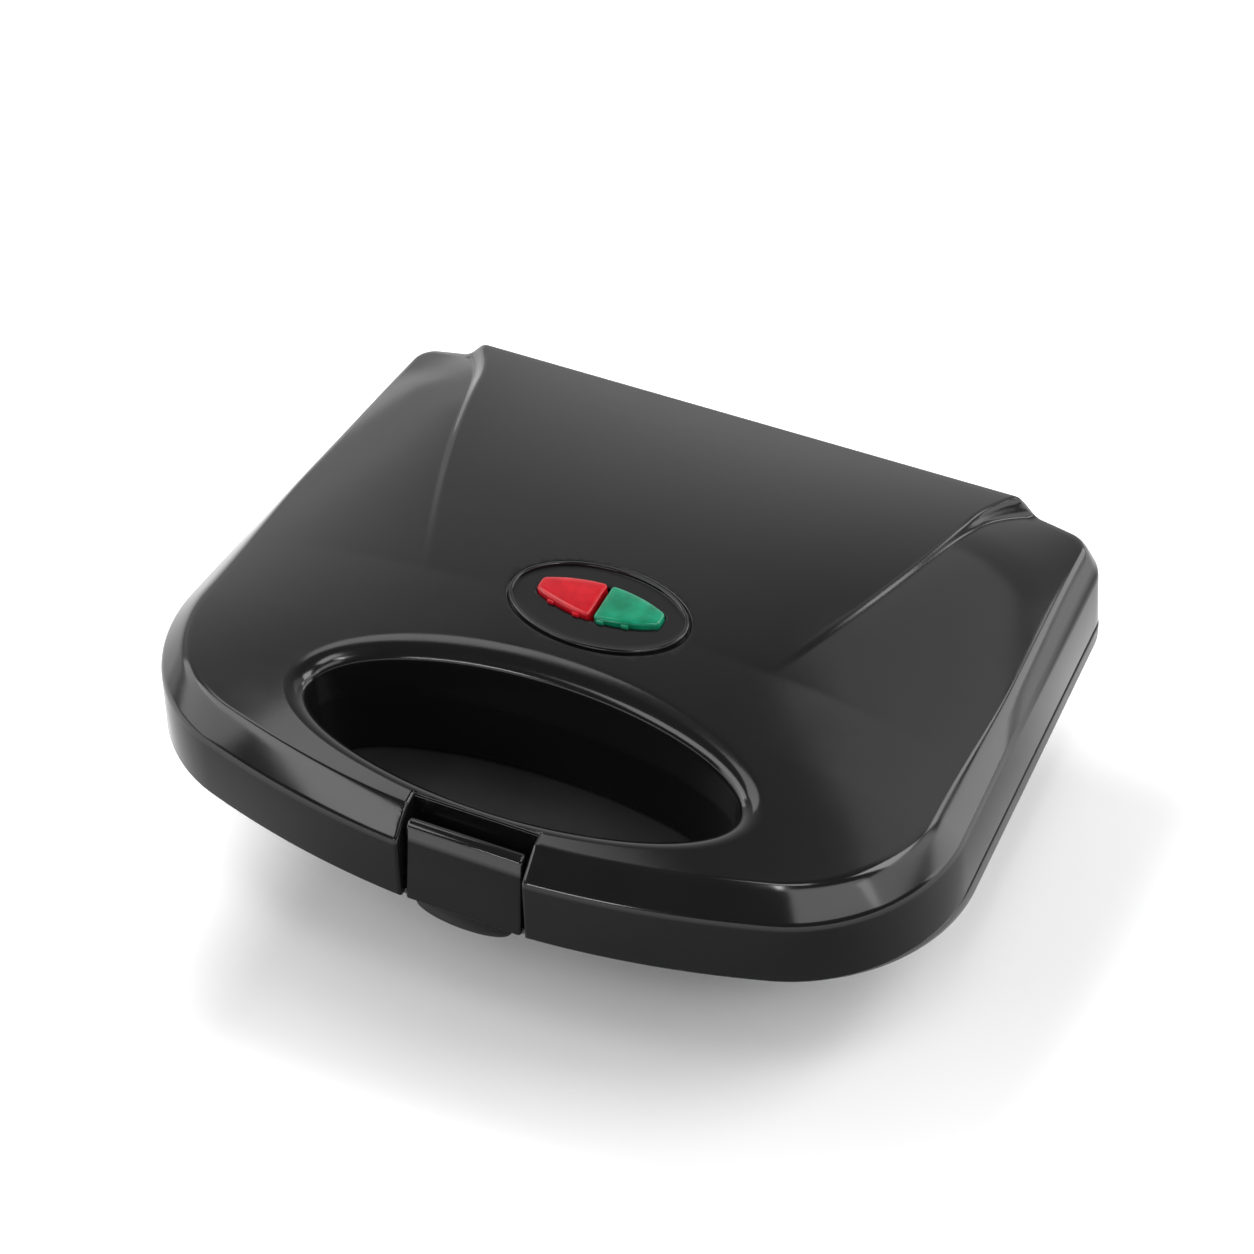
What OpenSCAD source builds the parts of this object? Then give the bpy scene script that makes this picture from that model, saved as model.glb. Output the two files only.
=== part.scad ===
// Two-slice sandwich toaster: hinged lid over a tub-shaped base, with a front latch.
// Right is +X, the rear is +Y, up is +Z. The rubber feet stand on z = 0, lid closed.

/* [Body] */
// Overall width at the widest point of the lid
body_w = 240; // [220:1:270]
// Overall depth from the front edge to the cord bush
body_d = 200; // [190:1:230]
// Height of the joint between lid and base above the table
joint_h = 44; // [42:0.5:52]
// Radius of the bowed front edge, seen from above
front_r = 280; // [220:5:400]
// Radius of the two front corners
corner_r = 50; // [40:1:60]
// Radius of the two rear corners
rear_r = 12; // [11:0.5:16]
// Angle by which the sides close in toward the rear
side_taper = 3.5; // [0:0.5:5]
// Wall thickness of the plastic mouldings
wall = 2.5; // [2:0.1:3]
// Gap between lid and base rims
rim_gap = 0.8; // [0.6:0.1:1.5]
// Gap between two fitted pieces that don't touch
fit = 0.3; // [0.25:0.05:0.4]
// Radial clearance of a pin in its hole
pin_fit = 0.05; // [0.02:0.01:0.09]

/* [Lid] */
// Height of the upright skirt of the lid
skirt_h = 20.4; // [19:0.1:24]
// Height of the sloping band above the skirt
chamfer_h = 7.2; // [5:0.1:9]
// Width of the sloping band at the front
chamfer_in = 8.2; // [6:0.1:9]
// Amount by which the sloping band narrows toward the rear
chamfer_less = 2.8; // [0:0.1:3.5]
// Draft of the skirt from its foot to its top
skirt_draft = 0.6; // [0.2:0.1:1.2]
// Drop of the skirt's top toward the rear
skirt_fall = 2.4; // [0:0.1:3]
// Drop of the top's outer edge toward the rear
edge_fall = 3; // [0:0.1:4]
// Rise of the top above the sloping band
crown_h = 13.9; // [12:0.1:16]
// Height of the raised centre panel at the rear edge
panel_h = 6.9; // [5:0.1:8]
// Half width of the raised panel near the rear edge
panel_w = 79.5; // [76:0.5:82]
// Amount by which each corner of the panel flares out at the rear edge
panel_flare = 6; // [0:0.5:7]
// Height of the step beside the raised panel
step_h = 1.4; // [0.8:0.1:2]
// Width of the step beside the raised panel
step_w = 2.6; // [2:0.1:4]
// Height of that step at the rear edge
step_rear_h = 5.2; // [4:0.1:6]
// Width of that step at the rear edge
step_rear_w = 7.5; // [5:0.5:10]
// Radius of the top's rear corners
top_corner_r = 5; // [4:0.5:8]
// Thickness of the frame that closes the lid from below
frame_t = 2.5; // [2:0.1:3]

/* [Handle] */
// Half length of the finger opening
grip_a = 64.5; // [58:0.5:68]
// Half width of the finger opening
grip_b = 21.7; // [19:0.1:22]
// Distance of the opening's centre behind the front edge
grip_y = 38; // [37:0.5:42]
// Width of the rounded lip round the opening
grip_lip = 4.6; // [3:0.1:5]
// Inward lean of the opening's wall from top to bottom
grip_draft = 2.5; // [1:0.1:4]

/* [Latch] */
// Width of the latch
latch_w = 35; // [30:0.5:40]
// Side gap of the latch in its notch
latch_gap = 1.2; // [0.8:0.1:1.6]
// Thickness of the latch plate
latch_t = 3.2; // [2.5:0.1:3.5]
// Radius of the latch pin
latch_pin_r = 1.2; // [1:0.1:1.4]
// Depth of the notch behind the front edge
notch_d = 12.8; // [12.5:0.1:13.2]
// Thickness of the finger tab under the latch
tab_t = 1.8; // [1.4:0.1:2]

/* [Hinge] */
// Distance of the hinge axis behind the lid's rear edge
hinge_back = 6.3; // [6:0.1:7]
// Height of the hinge axis above the joint
hinge_up = 3; // [2:0.1:4]
// Outer radius of the hinge knuckles
knuckle_r = 5.4; // [4.5:0.1:5.5]
// Radius of the hinge pins
hinge_pin_r = 2; // [1.5:0.1:2.5]
// Distance of each hinge from the middle
hinge_x = 72; // [60:1:76]
// Width of the lid's knuckle
knuckle_w = 12; // [10:0.5:16]
// Thickness of each base lug
lug_t = 6; // [5:0.5:8]

/* [Cooking plates] */
// Distance of the plates' sides from the lid's widest point
plate_side = 14; // [13:0.5:17]
// Distance of the plates behind the lid's front edge
plate_front = 74.1; // [72:0.1:78]
// Distance of the plates in front of the lid's rear wall
plate_rear = 3.5; // [3:0.1:6]
// Thickness of the plate's rim
rim_t = 2.6; // [2.2:0.1:3]
// Wall thickness of the cast pockets
cast_t = 2.3; // [2:0.1:2.6]
// Gap between the two plates when closed
plate_gap = 1; // [0.8:0.1:1.5]
// Depth of the lower pockets
lower_depth = 12; // [10:0.5:13]
// Depth of the upper pockets
upper_depth = 10; // [9:0.5:11]
// Width of the bar between the two pockets
bar_w = 12; // [10:0.5:16]
// Width of the rim outside the pockets
rim_w = 10; // [9:0.5:12]
// Width of the rim in front of and behind the pockets
rim_f = 7; // [6:0.5:9]
// Width of the diagonal cutting ridge
ridge_w = 5; // [4:0.1:7]
// Slope of the pocket walls, as inset at the floor
pocket_in = 9.5; // [8:0.1:11]

/* [Heating] */
// Radius of the heating tubes
tube_r = 3.2; // [2.8:0.1:3.5]
// Half width of the heating loop
loop_w = 74; // [68:1:80]
// Half depth of the heating loop
loop_d = 25; // [22:1:30]
// Bend radius of the heating loop
loop_r = 14; // [11:1:18]
// Length of the gap in the loop between the terminals
loop_gap = 48; // [44:1:60]
// Distance of the straps from the middle
strap_x = 44; // [38:1:54]
// Length of the terminal block
block_l = 26; // [22:1:30]
// Width of the terminal block
block_b = 14; // [12:1:16]
// Height of the terminal block
block_t = 9; // [8:0.5:10]
// Distance of the terminal block in front of the lid's rear edge
block_y = 42; // [40:1:46]
// Thickness of the sheet reflectors and straps
sheet_t = 0.6; // [0.5:0.1:0.8]
// Overhang of each reflector round its loop
sheet_over = 13; // [8:0.5:14]
// Depth of the reflectors' turned edges
sheet_lip = 4; // [2:0.5:5]
// Radius of the thermostat
sensor_r = 8; // [6:0.5:8]

/* [Indicators] */
// Half length of the oval indicator recess
bezel_a = 27; // [24:0.5:30]
// Half width of the oval indicator recess
bezel_b = 15.3; // [13:0.1:16]
// Distance of the recess behind the front edge
bezel_y = 87; // [84:0.5:90]
// Half length of the pair of lenses
lens_a = 18.8; // [16:0.1:21]
// Half width of the pair of lenses
lens_b = 6.4; // [5:0.1:8]
// Half length at which the two long edges of the lenses would meet
lens_tip = 23; // [22:0.5:32]
// Gap between the red and the green lens
lens_gap = 1.4; // [1:0.1:2]
// Height of the lenses above the bezel
lens_up = 2.2; // [1:0.1:2.4]
// How far behind the middle of the recess the lenses stand
lens_y = 1.4; // [0:0.1:2]
// Length of the lamp holder
holder_l = 60; // [56:1:70]
// Width of the lamp holder
holder_b = 14; // [12:0.5:18]
// Height of the lamp holder
holder_h = 8; // [7.5:0.5:9]

/* [Base] */
// Inset of the base's side rim under the lid
base_in = 0.3; // [0.3:0.1:2.5]
// Inset of the base's front rim under the lid
base_front = 4.5; // [3.5:0.1:6]
// Height of the base's upright rim
base_rim = 3.2; // [3:0.1:5]
// Height of the base's upright sides
base_side = 7; // [5:0.5:9]
// Inset of the base's bottom from its side rim
base_slope = 32; // [29:0.5:37]
// Inset of the base's bottom from its front rim
base_sweep = 51; // [46:0.5:58]
// Height of the rubber feet under the base
foot_h = 3; // [2:0.1:5]
// Radius of the rubber feet
foot_r = 8; // [6:0.5:10]
// Radius of the plug that holds each foot
foot_stem = 2.2; // [1.8:0.1:2.6]
// Height of the bosses for the two base screws
base_boss_top = 20; // [18:0.5:22]
// Length of the base screws
base_screw_l = 17.2; // [15:0.1:18]
// Radius of the cord's hole in its bush
cord_r = 3.2; // [2.5:0.1:4]
// Distance of the cord bush from the middle
bush_x = 46; // [30:1:54]

/* [Hidden] */
notch_w = latch_w+2*latch_gap;
y_front = -body_d/2-pow(notch_w/2, 2)/(2*front_r);
bush_out = 2.4;
hinge_rear = bush_out+0.4;
y_axis = body_d/2-hinge_rear-knuckle_r;
y_rear = y_axis-hinge_back;
z_axis = joint_h+hinge_up;
lid_d = y_rear-y_front;
z_skirt = joint_h+skirt_h;
z_band = z_skirt+chamfer_h;
z_base = joint_h-rim_gap;
rear_in = 4;
crown_at = 0.64;
panel_from = 0.44;
y_band_f = y_front+chamfer_in;
y_band_r = y_rear-rear_in;
y_grip = y_front+grip_y;
y_bezel = y_front+bezel_y;
plate_w = body_w-2*plate_side;
plate_d = y_rear-wall-plate_rear-(y_front+plate_front);
y_plate = y_rear-wall-plate_rear-plate_d/2;
z_low = joint_h-plate_gap/2;
z_up = joint_h+plate_gap/2;
low_back = z_low-lower_depth-cast_t;
up_back = z_up+upper_depth+cast_t;
screw_r = 1.5;
head_r = 2.9;
boss_r = 3.4;
head_h = 2.1;
head_z = base_boss_top-4.1;
plate_screw_x = plate_w/2-rim_w/2;
plate_screw_y = plate_d/2-16;
tube_gap = 0.1;
strap_w = 8;
low_tube_z = low_back-tube_r-tube_gap;
up_tube_z = up_back+tube_r+tube_gap;
low_sheet_z = low_tube_z-tube_r-sheet_t-2*fit-sheet_t;
up_sheet_z = up_tube_z+tube_r+sheet_t+2*fit;
y_pin = y_front+9;
z_pin = joint_h+17.5;
latch_knuckle = 3;
tab_h = base_rim+rim_gap+1.5;
deck_z = z_base-frame_t;
z_frame = joint_h+0.6;
base_z = foot_h;
floor_z = base_z+wall;
holder_top = 6;
foot_x = 68;
foot_front = y_front+72;
foot_rear = y_rear-26;

// Number of steps along each part of an outline
n_front = 9;
n_corner = 8;
n_side = 9;
n_rear = 5;
// Where points stand along the rear edge, closer together at the edge of the raised panel
rear_steps = [0.96, 0.92, 0.89, 0.87, 0.85, 0.83, 0.78, 0.68, 0.5, 0.25];
// Rings of the lid's top, as shares of the outline, closer together near the edge
top_rings = [0.95, 0.9, 0.85, 0.8, 0.75, 0.7, 0.64, 0.58, 0.5, 0.4, 0.28, 0.14];

function smooth(t) = let(c = max(0, min(1, t))) c*c*(3-2*c);

// Right half of the outline, front centre to rear centre; d moves it inward
function half(yf, w, yr, rf, rc, rr, tap) =
    let(cx = w-rc, fy = yf+rf, cy = fy-sqrt(pow(rf-rc, 2)-cx*cx), a1 = atan2(cx, fy-cy),
        ry = yr-rr, rx = cx+(rc-rr-(ry-cy)*sin(tap))/cos(tap),
        sx = cx+rc*cos(tap), sy = cy+rc*sin(tap), ex = rx+rr*cos(tap), ey = ry+rr*sin(tap))
    concat(
        [for (i = [0:n_front-1]) let(a = a1*i/n_front) [rf*sin(a), fy-rf*cos(a)]],
        [for (i = [0:n_corner-1]) let(a = a1-90+(tap+90-a1)*i/n_corner) [cx+rc*cos(a), cy+rc*sin(a)]],
        [for (i = [0:n_side-1]) let(t = i/n_side) [sx+(ex-sx)*t, sy+(ey-sy)*t]],
        [for (i = [0:n_rear]) let(a = tap+(90-tap)*i/n_rear) [rx+rr*cos(a), ry+rr*sin(a)]],
        [for (s = rear_steps) [rx*s, yr]],
        [[0, yr]]);

// Whole closed outline, counterclockwise from the front centre
function whole(h) = concat(h, [for (i = [len(h)-2:-1:1]) [-h[i][0], h[i][1]]]);

// Outline of the lid moved inward by d, and by dr at the rear, with rear corners of radius rr
function lid_line(d, dr, rr = rear_r) =
    whole(half(y_front+d, body_w/2-d, y_rear-dr, front_r-d, corner_r-d, rr-min(d, dr), side_taper));

// Share of the way from the front edge of the top to its rear edge
function depth_share(y) = max(0, min(1, (y-y_band_f)/(y_band_r-y_band_f)));

// Factor by which the top's outer edge widens where the sloping band narrows
function widen(y) = 1+chamfer_less/(body_w/2-chamfer_in)*smooth((y-y_front-60)/60);

// Outer edge of the top, and the skirt's upper edge, which drops toward the rear
function band_line(d, dr) =
    [for (p = lid_line(chamfer_in+d, rear_in+dr, top_corner_r+rear_in)) [p[0]*widen(p[1]), p[1]]];
function on_skirt(line, dz) =
    [for (p = line) [p[0], p[1], z_skirt+dz-skirt_fall*smooth((p[1]-y_front-70)/(lid_d-86))]];

// Height of the lid's top surface at x, y: a dome in front that turns toward the rear
// into a raised panel with a step down beside it
function top_z(x, y) =
    let(s = depth_share(y), u = 1-s, ax = abs(x),
        crown = s < crown_at ? crown_h*(1-pow((crown_at-s)/crown_at, 2))
                             : crown_h-(crown_h-panel_h)*pow((s-crown_at)/(1-crown_at), 2),
        top = z_band+crown,
        low = z_band-edge_fall*smooth((s-0.15)/0.85),
        w = s < panel_from ? 0 : pow((s-panel_from)/(1-panel_from), 0.8),
        xs = (body_w/2-chamfer_in-11.5*pow(max(0, 0.3-s)/0.3, 2)-7*max(0, s-0.3))*widen(y),
        dome = low+(top-low)*(1-pow(min(1, ax/xs), 2.2)),
        out = ax-panel_edge(u),
        near = pow(max(0, 1-u/0.2), 2),
        fall = step_h+(step_rear_h-step_h)*near,
        level = top-fall*smooth(out/(step_w+(step_rear_w-step_w)*near)),
        away = max(0, min(1, out/max(1, xs-panel_edge(u)))))
    dome*(1-w)+w*(level-(level-low)*pow(away, 1.5-0.3*near));

// Half width of the raised panel at the share u of the way from the rear edge to the front edge
function panel_edge(u) =
    panel_w-27.5*pow(u/(1-panel_from), 1.5)+panel_flare*pow(max(0, 1-u/0.1), 2);

// Closed solid through rings of points, each ring a list of [x, y, z]
module loft(rings) {
    n = len(rings[0]);
    m = len(rings);
    pts = [for (r = rings) for (p = r) p];
    sides = [for (k = [0:m-2]) for (i = [0:n-1]) let(j = (i+1)%n)
        each [[k*n+i, (k+1)*n+i, (k+1)*n+j], [k*n+i, (k+1)*n+j, k*n+j]]];
    polyhedron(pts, concat([[for (i = [0:n-1]) i]], sides, [[for (i = [n-1:-1:0]) (m-1)*n+i]]));
}

// Closed solid through rings that ends in one point at the top
module domed(rings, apex) {
    n = len(rings[0]);
    m = len(rings);
    pts = concat([for (r = rings) for (p = r) p], [apex]);
    sides = [for (k = [0:m-2]) for (i = [0:n-1]) let(j = (i+1)%n)
        each [[k*n+i, (k+1)*n+i, (k+1)*n+j], [k*n+i, (k+1)*n+j, k*n+j]]];
    cap = [for (i = [0:n-1]) [(m-1)*n+i, m*n, (m-1)*n+(i+1)%n]];
    polyhedron(pts, concat([[for (i = [0:n-1]) i]], sides, cap));
}

function at_z(line, z) = [for (p = line) [p[0], p[1], z]];
function on_top(line, dz) = [for (p = line) [p[0], p[1], top_z(p[0], p[1])+dz]];
function toward(line, c, s) = [for (p = line) [c[0]+(p[0]-c[0])*s, c[1]+(p[1]-c[1])*s]];
function oval(a, b, y, n) = [for (i = [0:n-1]) [a*cos(360*i/n), y+b*sin(360*i/n)]];

top_centre = [0, y_front+0.54*lid_d];

// Outside of the lid as one solid block
module lid_outside() {
    band = band_line(0, 0);
    domed(concat(
        [at_z(lid_line(0, 0), joint_h), on_skirt(lid_line(skirt_draft, 0.3), 0), on_top(band, 0)],
        [for (s = top_rings) on_top(toward(band, top_centre, s), 0)]),
        [0, top_centre[1], top_z(0, top_centre[1])]);
}

// Hollow of the lid
module lid_inside() {
    band = band_line(wall*0.6, wall*0.6);
    inner = wall+skirt_draft;
    domed(concat(
        [at_z(lid_line(wall, wall), joint_h-1), on_skirt(lid_line(inner, inner), -wall*0.45),
         on_top(band, -wall)],
        [for (s = [0.86, 0.74, 0.6, 0.42, 0.2]) on_top(toward(band, top_centre, s), -wall)]),
        [0, top_centre[1], top_z(0, top_centre[1])-wall]);
}

// Finger opening with its rounded lip
module grip_cut() {
    n = 48;
    lip = [for (k = [0:3]) let(a = 30*k) [grip_lip*(1-sin(a)), -grip_lip*(1-cos(a))]];
    loft(concat(
        [at_z(oval(grip_a-grip_draft, grip_b-grip_draft, y_grip, n), joint_h-1)],
        [for (k = [3:-1:0]) on_top(oval(grip_a+lip[k][0], grip_b+lip[k][0], y_grip, n), lip[k][1])],
        [on_top(oval(grip_a+grip_lip, grip_b+grip_lip, y_grip, n), 5)]));
}

module grip_wall(z0, h, more) {
    translate([0, 0, z0]) linear_extrude(h) polygon(oval(grip_a+more, grip_b+more, y_grip, 48));
}

// Oval recess, its bezel and its lenses lie in one plane that follows the slope of the top
bezel_tilt = atan((top_z(0, y_bezel+6)-top_z(0, y_bezel-6))/12);
module on_bezel() {
    translate([0, y_bezel, top_z(0, y_bezel)-0.9]) rotate([bezel_tilt, 0, 0]) children();
}
module oval_block(a, b, z0, h) {
    translate([0, 0, z0]) linear_extrude(h) polygon(oval(a, b, 0, 64));
}
module lens_shape(more) {
    r = (lens_tip*lens_tip+lens_b*lens_b)/(2*lens_b);
    translate([0, lens_y]) intersection() {
        translate([0, lens_b-r]) circle(r = r+more, $fn = 160);
        translate([0, r-lens_b]) circle(r = r+more, $fn = 160);
        square([2*lens_a+2*more, 2*lens_b+2*more], center = true);
    }
}

module bar_x(r, x0, x1, y, z) {
    translate([x0, y, z]) rotate([0, 90, 0]) cylinder(r = r, h = x1-x0, $fn = 48);
}

module post(x, y, z0, z1, r) {
    translate([x, y, z0]) cylinder(r = r, h = z1-z0, $fn = 32);
}

stud_x = 25;
frame_screw_x = 84;
frame_screw_y = y_front+42;
base_screw_x = 34;
base_screw_y = y_front+60;

// ---- Lid ----

module lid_shell() {
    color("#141416") difference() {
        union() {
            difference() {
                lid_outside();
                difference() {
                    lid_inside();
                    grip_wall(joint_h-2, 60, 2.2);
                    // block behind the notch and the two cheeks that hold the latch pin
                    translate([-notch_w/2-8, y_front-1, joint_h-2])
                        cube([notch_w+16, notch_d+3.5, 60]);
                    for (sx = [-1, 1]) {
                        for (sy = [-1, 1])
                            post(sx*plate_screw_x, y_plate+sy*plate_screw_y, z_up+rim_t+fit, 95, boss_r);
                        post(sx*frame_screw_x, frame_screw_y, z_frame+frame_t+0.1, 95, boss_r);
                        // studs that carry the lamp holder under the bezel
                        on_bezel() translate([sx*stud_x, 0, 0.1-holder_top])
                            cylinder(r = 2.8, h = 12, $fn = 32);
                    }
                }
            }
            for (sx = [-1, 1]) lid_knuckle(sx);
        }
        grip_cut();
        translate([-notch_w/2, y_front-2, joint_h-2]) cube([notch_w, notch_d+2, 60]);
        bar_x(latch_pin_r+pin_fit, -notch_w/2-5, notch_w/2+5, y_pin, z_pin);
        bar_x(hinge_pin_r+pin_fit, -hinge_x-knuckle_w, -hinge_x+knuckle_w, y_axis, z_axis);
        bar_x(hinge_pin_r+pin_fit, hinge_x-knuckle_w, hinge_x+knuckle_w, y_axis, z_axis);
        on_bezel() {
            oval_block(bezel_a, bezel_b, 0, 6);
            translate([0, 0, -12]) linear_extrude(20) lens_shape(0.8);
        }
        for (sx = [-1, 1]) {
            for (sy = [-1, 1])
                post(sx*plate_screw_x, y_plate+sy*plate_screw_y, joint_h, z_up+rim_t+9, screw_r+pin_fit);
            post(sx*frame_screw_x, frame_screw_y, joint_h, z_frame+frame_t+9, screw_r+pin_fit);
            on_bezel() translate([sx*stud_x, 0, -holder_top-1]) cylinder(r = 1.15, h = 4.6, $fn = 32);
        }
    }
}

module lid_knuckle(sx) {
    translate([sx*hinge_x-knuckle_w/2, 0, 0]) rotate([90, 0, 90]) linear_extrude(knuckle_w)
        union() {
            translate([y_axis, z_axis]) circle(r = knuckle_r, $fn = 48);
            translate([y_rear-wall/2, joint_h+0.3]) square([hinge_back+wall/2, z_axis-joint_h-0.3+knuckle_r]);
        }
}

module lid_frame() {
    color("#1a1a1c") difference() {
        translate([0, 0, z_frame]) linear_extrude(frame_t) difference() {
            polygon(lid_line(wall+fit, wall+fit));
            polygon(oval(grip_a+2.2+fit, grip_b+2.2+fit, y_grip, 48));
            translate([-notch_w/2-8-fit, y_front-1]) square([notch_w+16+2*fit, notch_d+3.5+fit+1]);
            translate([0, y_plate]) plate_outline(fit);
        }
        for (sx = [-1, 1]) {
            post(sx*frame_screw_x, frame_screw_y, z_frame-1, z_frame+frame_t+1, screw_r+0.2);
            post(sx*frame_screw_x, frame_screw_y, z_frame-1, z_frame+1.1, head_r+0.2);
        }
    }
}

module screw_up(x, y, z, len) {
    // pan head screw whose head starts at z and whose shank rises
    post(x, y, z, z+1, head_r);
    post(x, y, z+1, z+len, screw_r);
}

module lid_frame_screws() {
    color("#b9bcc0") for (sx = [-1, 1]) screw_up(sx*frame_screw_x, frame_screw_y, z_frame, 10);
}

// ---- Cooking plates ----

module plate_outline(more) {
    offset_x = plate_w/2+more;
    offset_y = plate_d/2+more;
    r = 9+more;
    union() {
        square([2*(offset_x-r), 2*offset_y], center = true);
        square([2*offset_x, 2*(offset_y-r)], center = true);
        for (sx = [-1, 1]) for (sy = [-1, 1])
            translate([sx*(offset_x-r), sy*(offset_y-r)]) circle(r = r, $fn = 48);
    }
}

// One triangular pocket: corners v, moved inward by d, with corner radius r
function tri_line(v, d, r) =
    let(la = norm(v[1]-v[2]), lb = norm(v[2]-v[0]), lc = norm(v[0]-v[1]), per = la+lb+lc,
        mid = (la*v[0]+lb*v[1]+lc*v[2])/per,
        area = abs((v[1][0]-v[0][0])*(v[2][1]-v[0][1])-(v[2][0]-v[0][0])*(v[1][1]-v[0][1]))/2,
        inr = 2*area/per)
    [for (i = [0:2])
        let(p = v[i], q = v[(i+1)%3], o = v[(i+2)%3],
            c = mid+(p-mid)*(1-(d+r)/inr),
            a0 = atan2(p[1]-o[1], p[0]-o[0])-90, a1 = atan2(q[1]-p[1], q[0]-p[0])-90,
            da = (a1-a0+720)%360)
        each [for (k = [0:4]) let(a = a0+da*k/4) [c[0]+r*cos(a), c[1]+r*sin(a)]]];

function box_line(x0, x1, y0, y1, r) =
    [for (c = [[x1-r, y0+r, -90], [x1-r, y1-r, 0], [x0+r, y1-r, 90], [x0+r, y0+r, 180]])
        each [for (k = [0:4]) let(a = c[2]+22.5*k) [c[0]+r*cos(a), c[1]+r*sin(a)]]];

px0 = bar_w/2;
px1 = plate_w/2-rim_w;
py0 = -plate_d/2+rim_f;
py1 = plate_d/2-rim_f;
cut_d = ridge_w/2;
slant = atan2(py1-py0, px1-px0);
shift_x = cut_d/sin(slant);
shift_y = cut_d/cos(slant);
front_tri = [[px0+shift_x*1.0, py0], [px1, py0], [px1, py1-shift_y]];
rear_tri = [[px0, py0+shift_y], [px1-shift_x, py1], [px0, py1]];

// A plate with its cooking face at z = 0, looking up, and its pockets below
module plate_form(depth) {
    difference() {
        union() {
            translate([0, 0, -rim_t]) linear_extrude(rim_t) plate_outline(0);
            for (m = [0, 1]) mirror([m, 0, 0]) {
                loft([at_z(box_line(px0+pocket_in-cast_t, px1-pocket_in+cast_t, py0+pocket_in-cast_t,
                          py1-pocket_in+cast_t, 7), -depth-cast_t),
                      at_z(box_line(px0+3.6-cast_t, px1-3.6+cast_t, py0+3.6-cast_t, py1-3.6+cast_t, 8), -depth*0.7),
                      at_z(box_line(px0-cast_t*0.7, px1+cast_t*0.7, py0-cast_t*0.7, py1+cast_t*0.7, 9), -1)]);
            }
            // pad in the middle for the sensor
            translate([-9, -8, -depth-cast_t]) cube([18, 16, depth+cast_t-1]);
        }
        for (m = [0, 1]) mirror([m, 0, 0]) {
            for (v = [front_tri, rear_tri])
                loft([at_z(tri_line(v, pocket_in, 3), -depth),
                      at_z(tri_line(v, 3.6, 5), -depth*0.72),
                      at_z(tri_line(v, 0.6, 6), -0.8),
                      at_z(tri_line(v, -0.4, 6.6), 1)]);
            // groove behind the cutting ridge
            translate([(px0+px1)/2, (py0+py1)/2, 0]) rotate([90, 0, 90+slant])
                translate([0, 0, -36]) linear_extrude(72)
                polygon([[-pocket_in*0.62, -depth-cast_t-1], [pocket_in*0.62, -depth-cast_t-1],
                         [0.5, -depth*0.42], [-0.5, -depth*0.42]]);
        }
        for (sx = [-1, 1]) for (sy = [-1, 1]) translate([sx*plate_screw_x, sy*plate_screw_y, 0]) {
            translate([0, 0, -rim_t-1]) cylinder(r = screw_r+0.2, h = rim_t+2, $fn = 32);
            translate([0, 0, -1.5]) cylinder(r1 = screw_r+0.2, r2 = head_r+0.2, h = 1.51, $fn = 32);
        }
    }
}

module lower_plate() {
    color("#2b2b2d") translate([0, y_plate, z_low]) plate_form(lower_depth);
}
module upper_plate() {
    color("#2b2b2d") translate([0, y_plate, z_up]) mirror([0, 0, 1]) plate_form(upper_depth);
}

module plate_screw(x, y, z, up, len) {
    // countersunk screw with its head flush at z
    translate([x, y, z]) mirror([0, 0, up > 0 ? 0 : 1]) {
        translate([0, 0, 0.1]) cylinder(r1 = head_r, r2 = screw_r, h = 1.4, $fn = 32);
        translate([0, 0, 1.5]) cylinder(r = screw_r, h = len-1.5, $fn = 32);
    }
}
module upper_plate_screws() {
    color("#8d9094") for (sx = [-1, 1]) for (sy = [-1, 1])
        plate_screw(sx*plate_screw_x, y_plate+sy*plate_screw_y, z_up, 1, 10);
}
module lower_plate_screws() {
    color("#8d9094") for (sx = [-1, 1]) for (sy = [-1, 1])
        plate_screw(sx*plate_screw_x, y_plate+sy*plate_screw_y, z_low, -1, 10);
}

// ---- Heating ----

// Heating tube bent to an open loop, centred at z = 0, with two terminal pins
module heating_loop() {
    straight = loop_w-loop_r;
    leg = loop_d-loop_r;
    translate([-straight, -loop_d, 0]) rotate([0, 90, 0]) cylinder(r = tube_r, h = 2*straight, $fn = 32);
    for (m = [0, 1]) mirror([m, 0, 0]) {
        translate([straight, -leg, 0]) rotate([0, 0, -90])
            rotate_extrude(angle = 90, $fn = 64) translate([loop_r, 0]) circle(r = tube_r, $fn = 32);
        translate([loop_w, leg, 0]) rotate([90, 0, 0]) cylinder(r = tube_r, h = 2*leg, $fn = 32);
        translate([straight, leg, 0])
            rotate_extrude(angle = 90, $fn = 64) translate([loop_r, 0]) circle(r = tube_r, $fn = 32);
        translate([loop_gap/2, loop_d, 0]) rotate([0, 90, 0])
            cylinder(r = tube_r, h = straight-loop_gap/2, $fn = 32);
        translate([loop_gap/2-7, loop_d, 0]) rotate([0, 90, 0]) cylinder(r = 1.2, h = 7, $fn = 24);
    }
}
module upper_heater() {
    color("#6d6f72") translate([0, y_plate, up_tube_z]) heating_loop();
}
module lower_heater() {
    color("#6d6f72") translate([0, y_plate, low_tube_z]) heating_loop();
}

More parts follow.
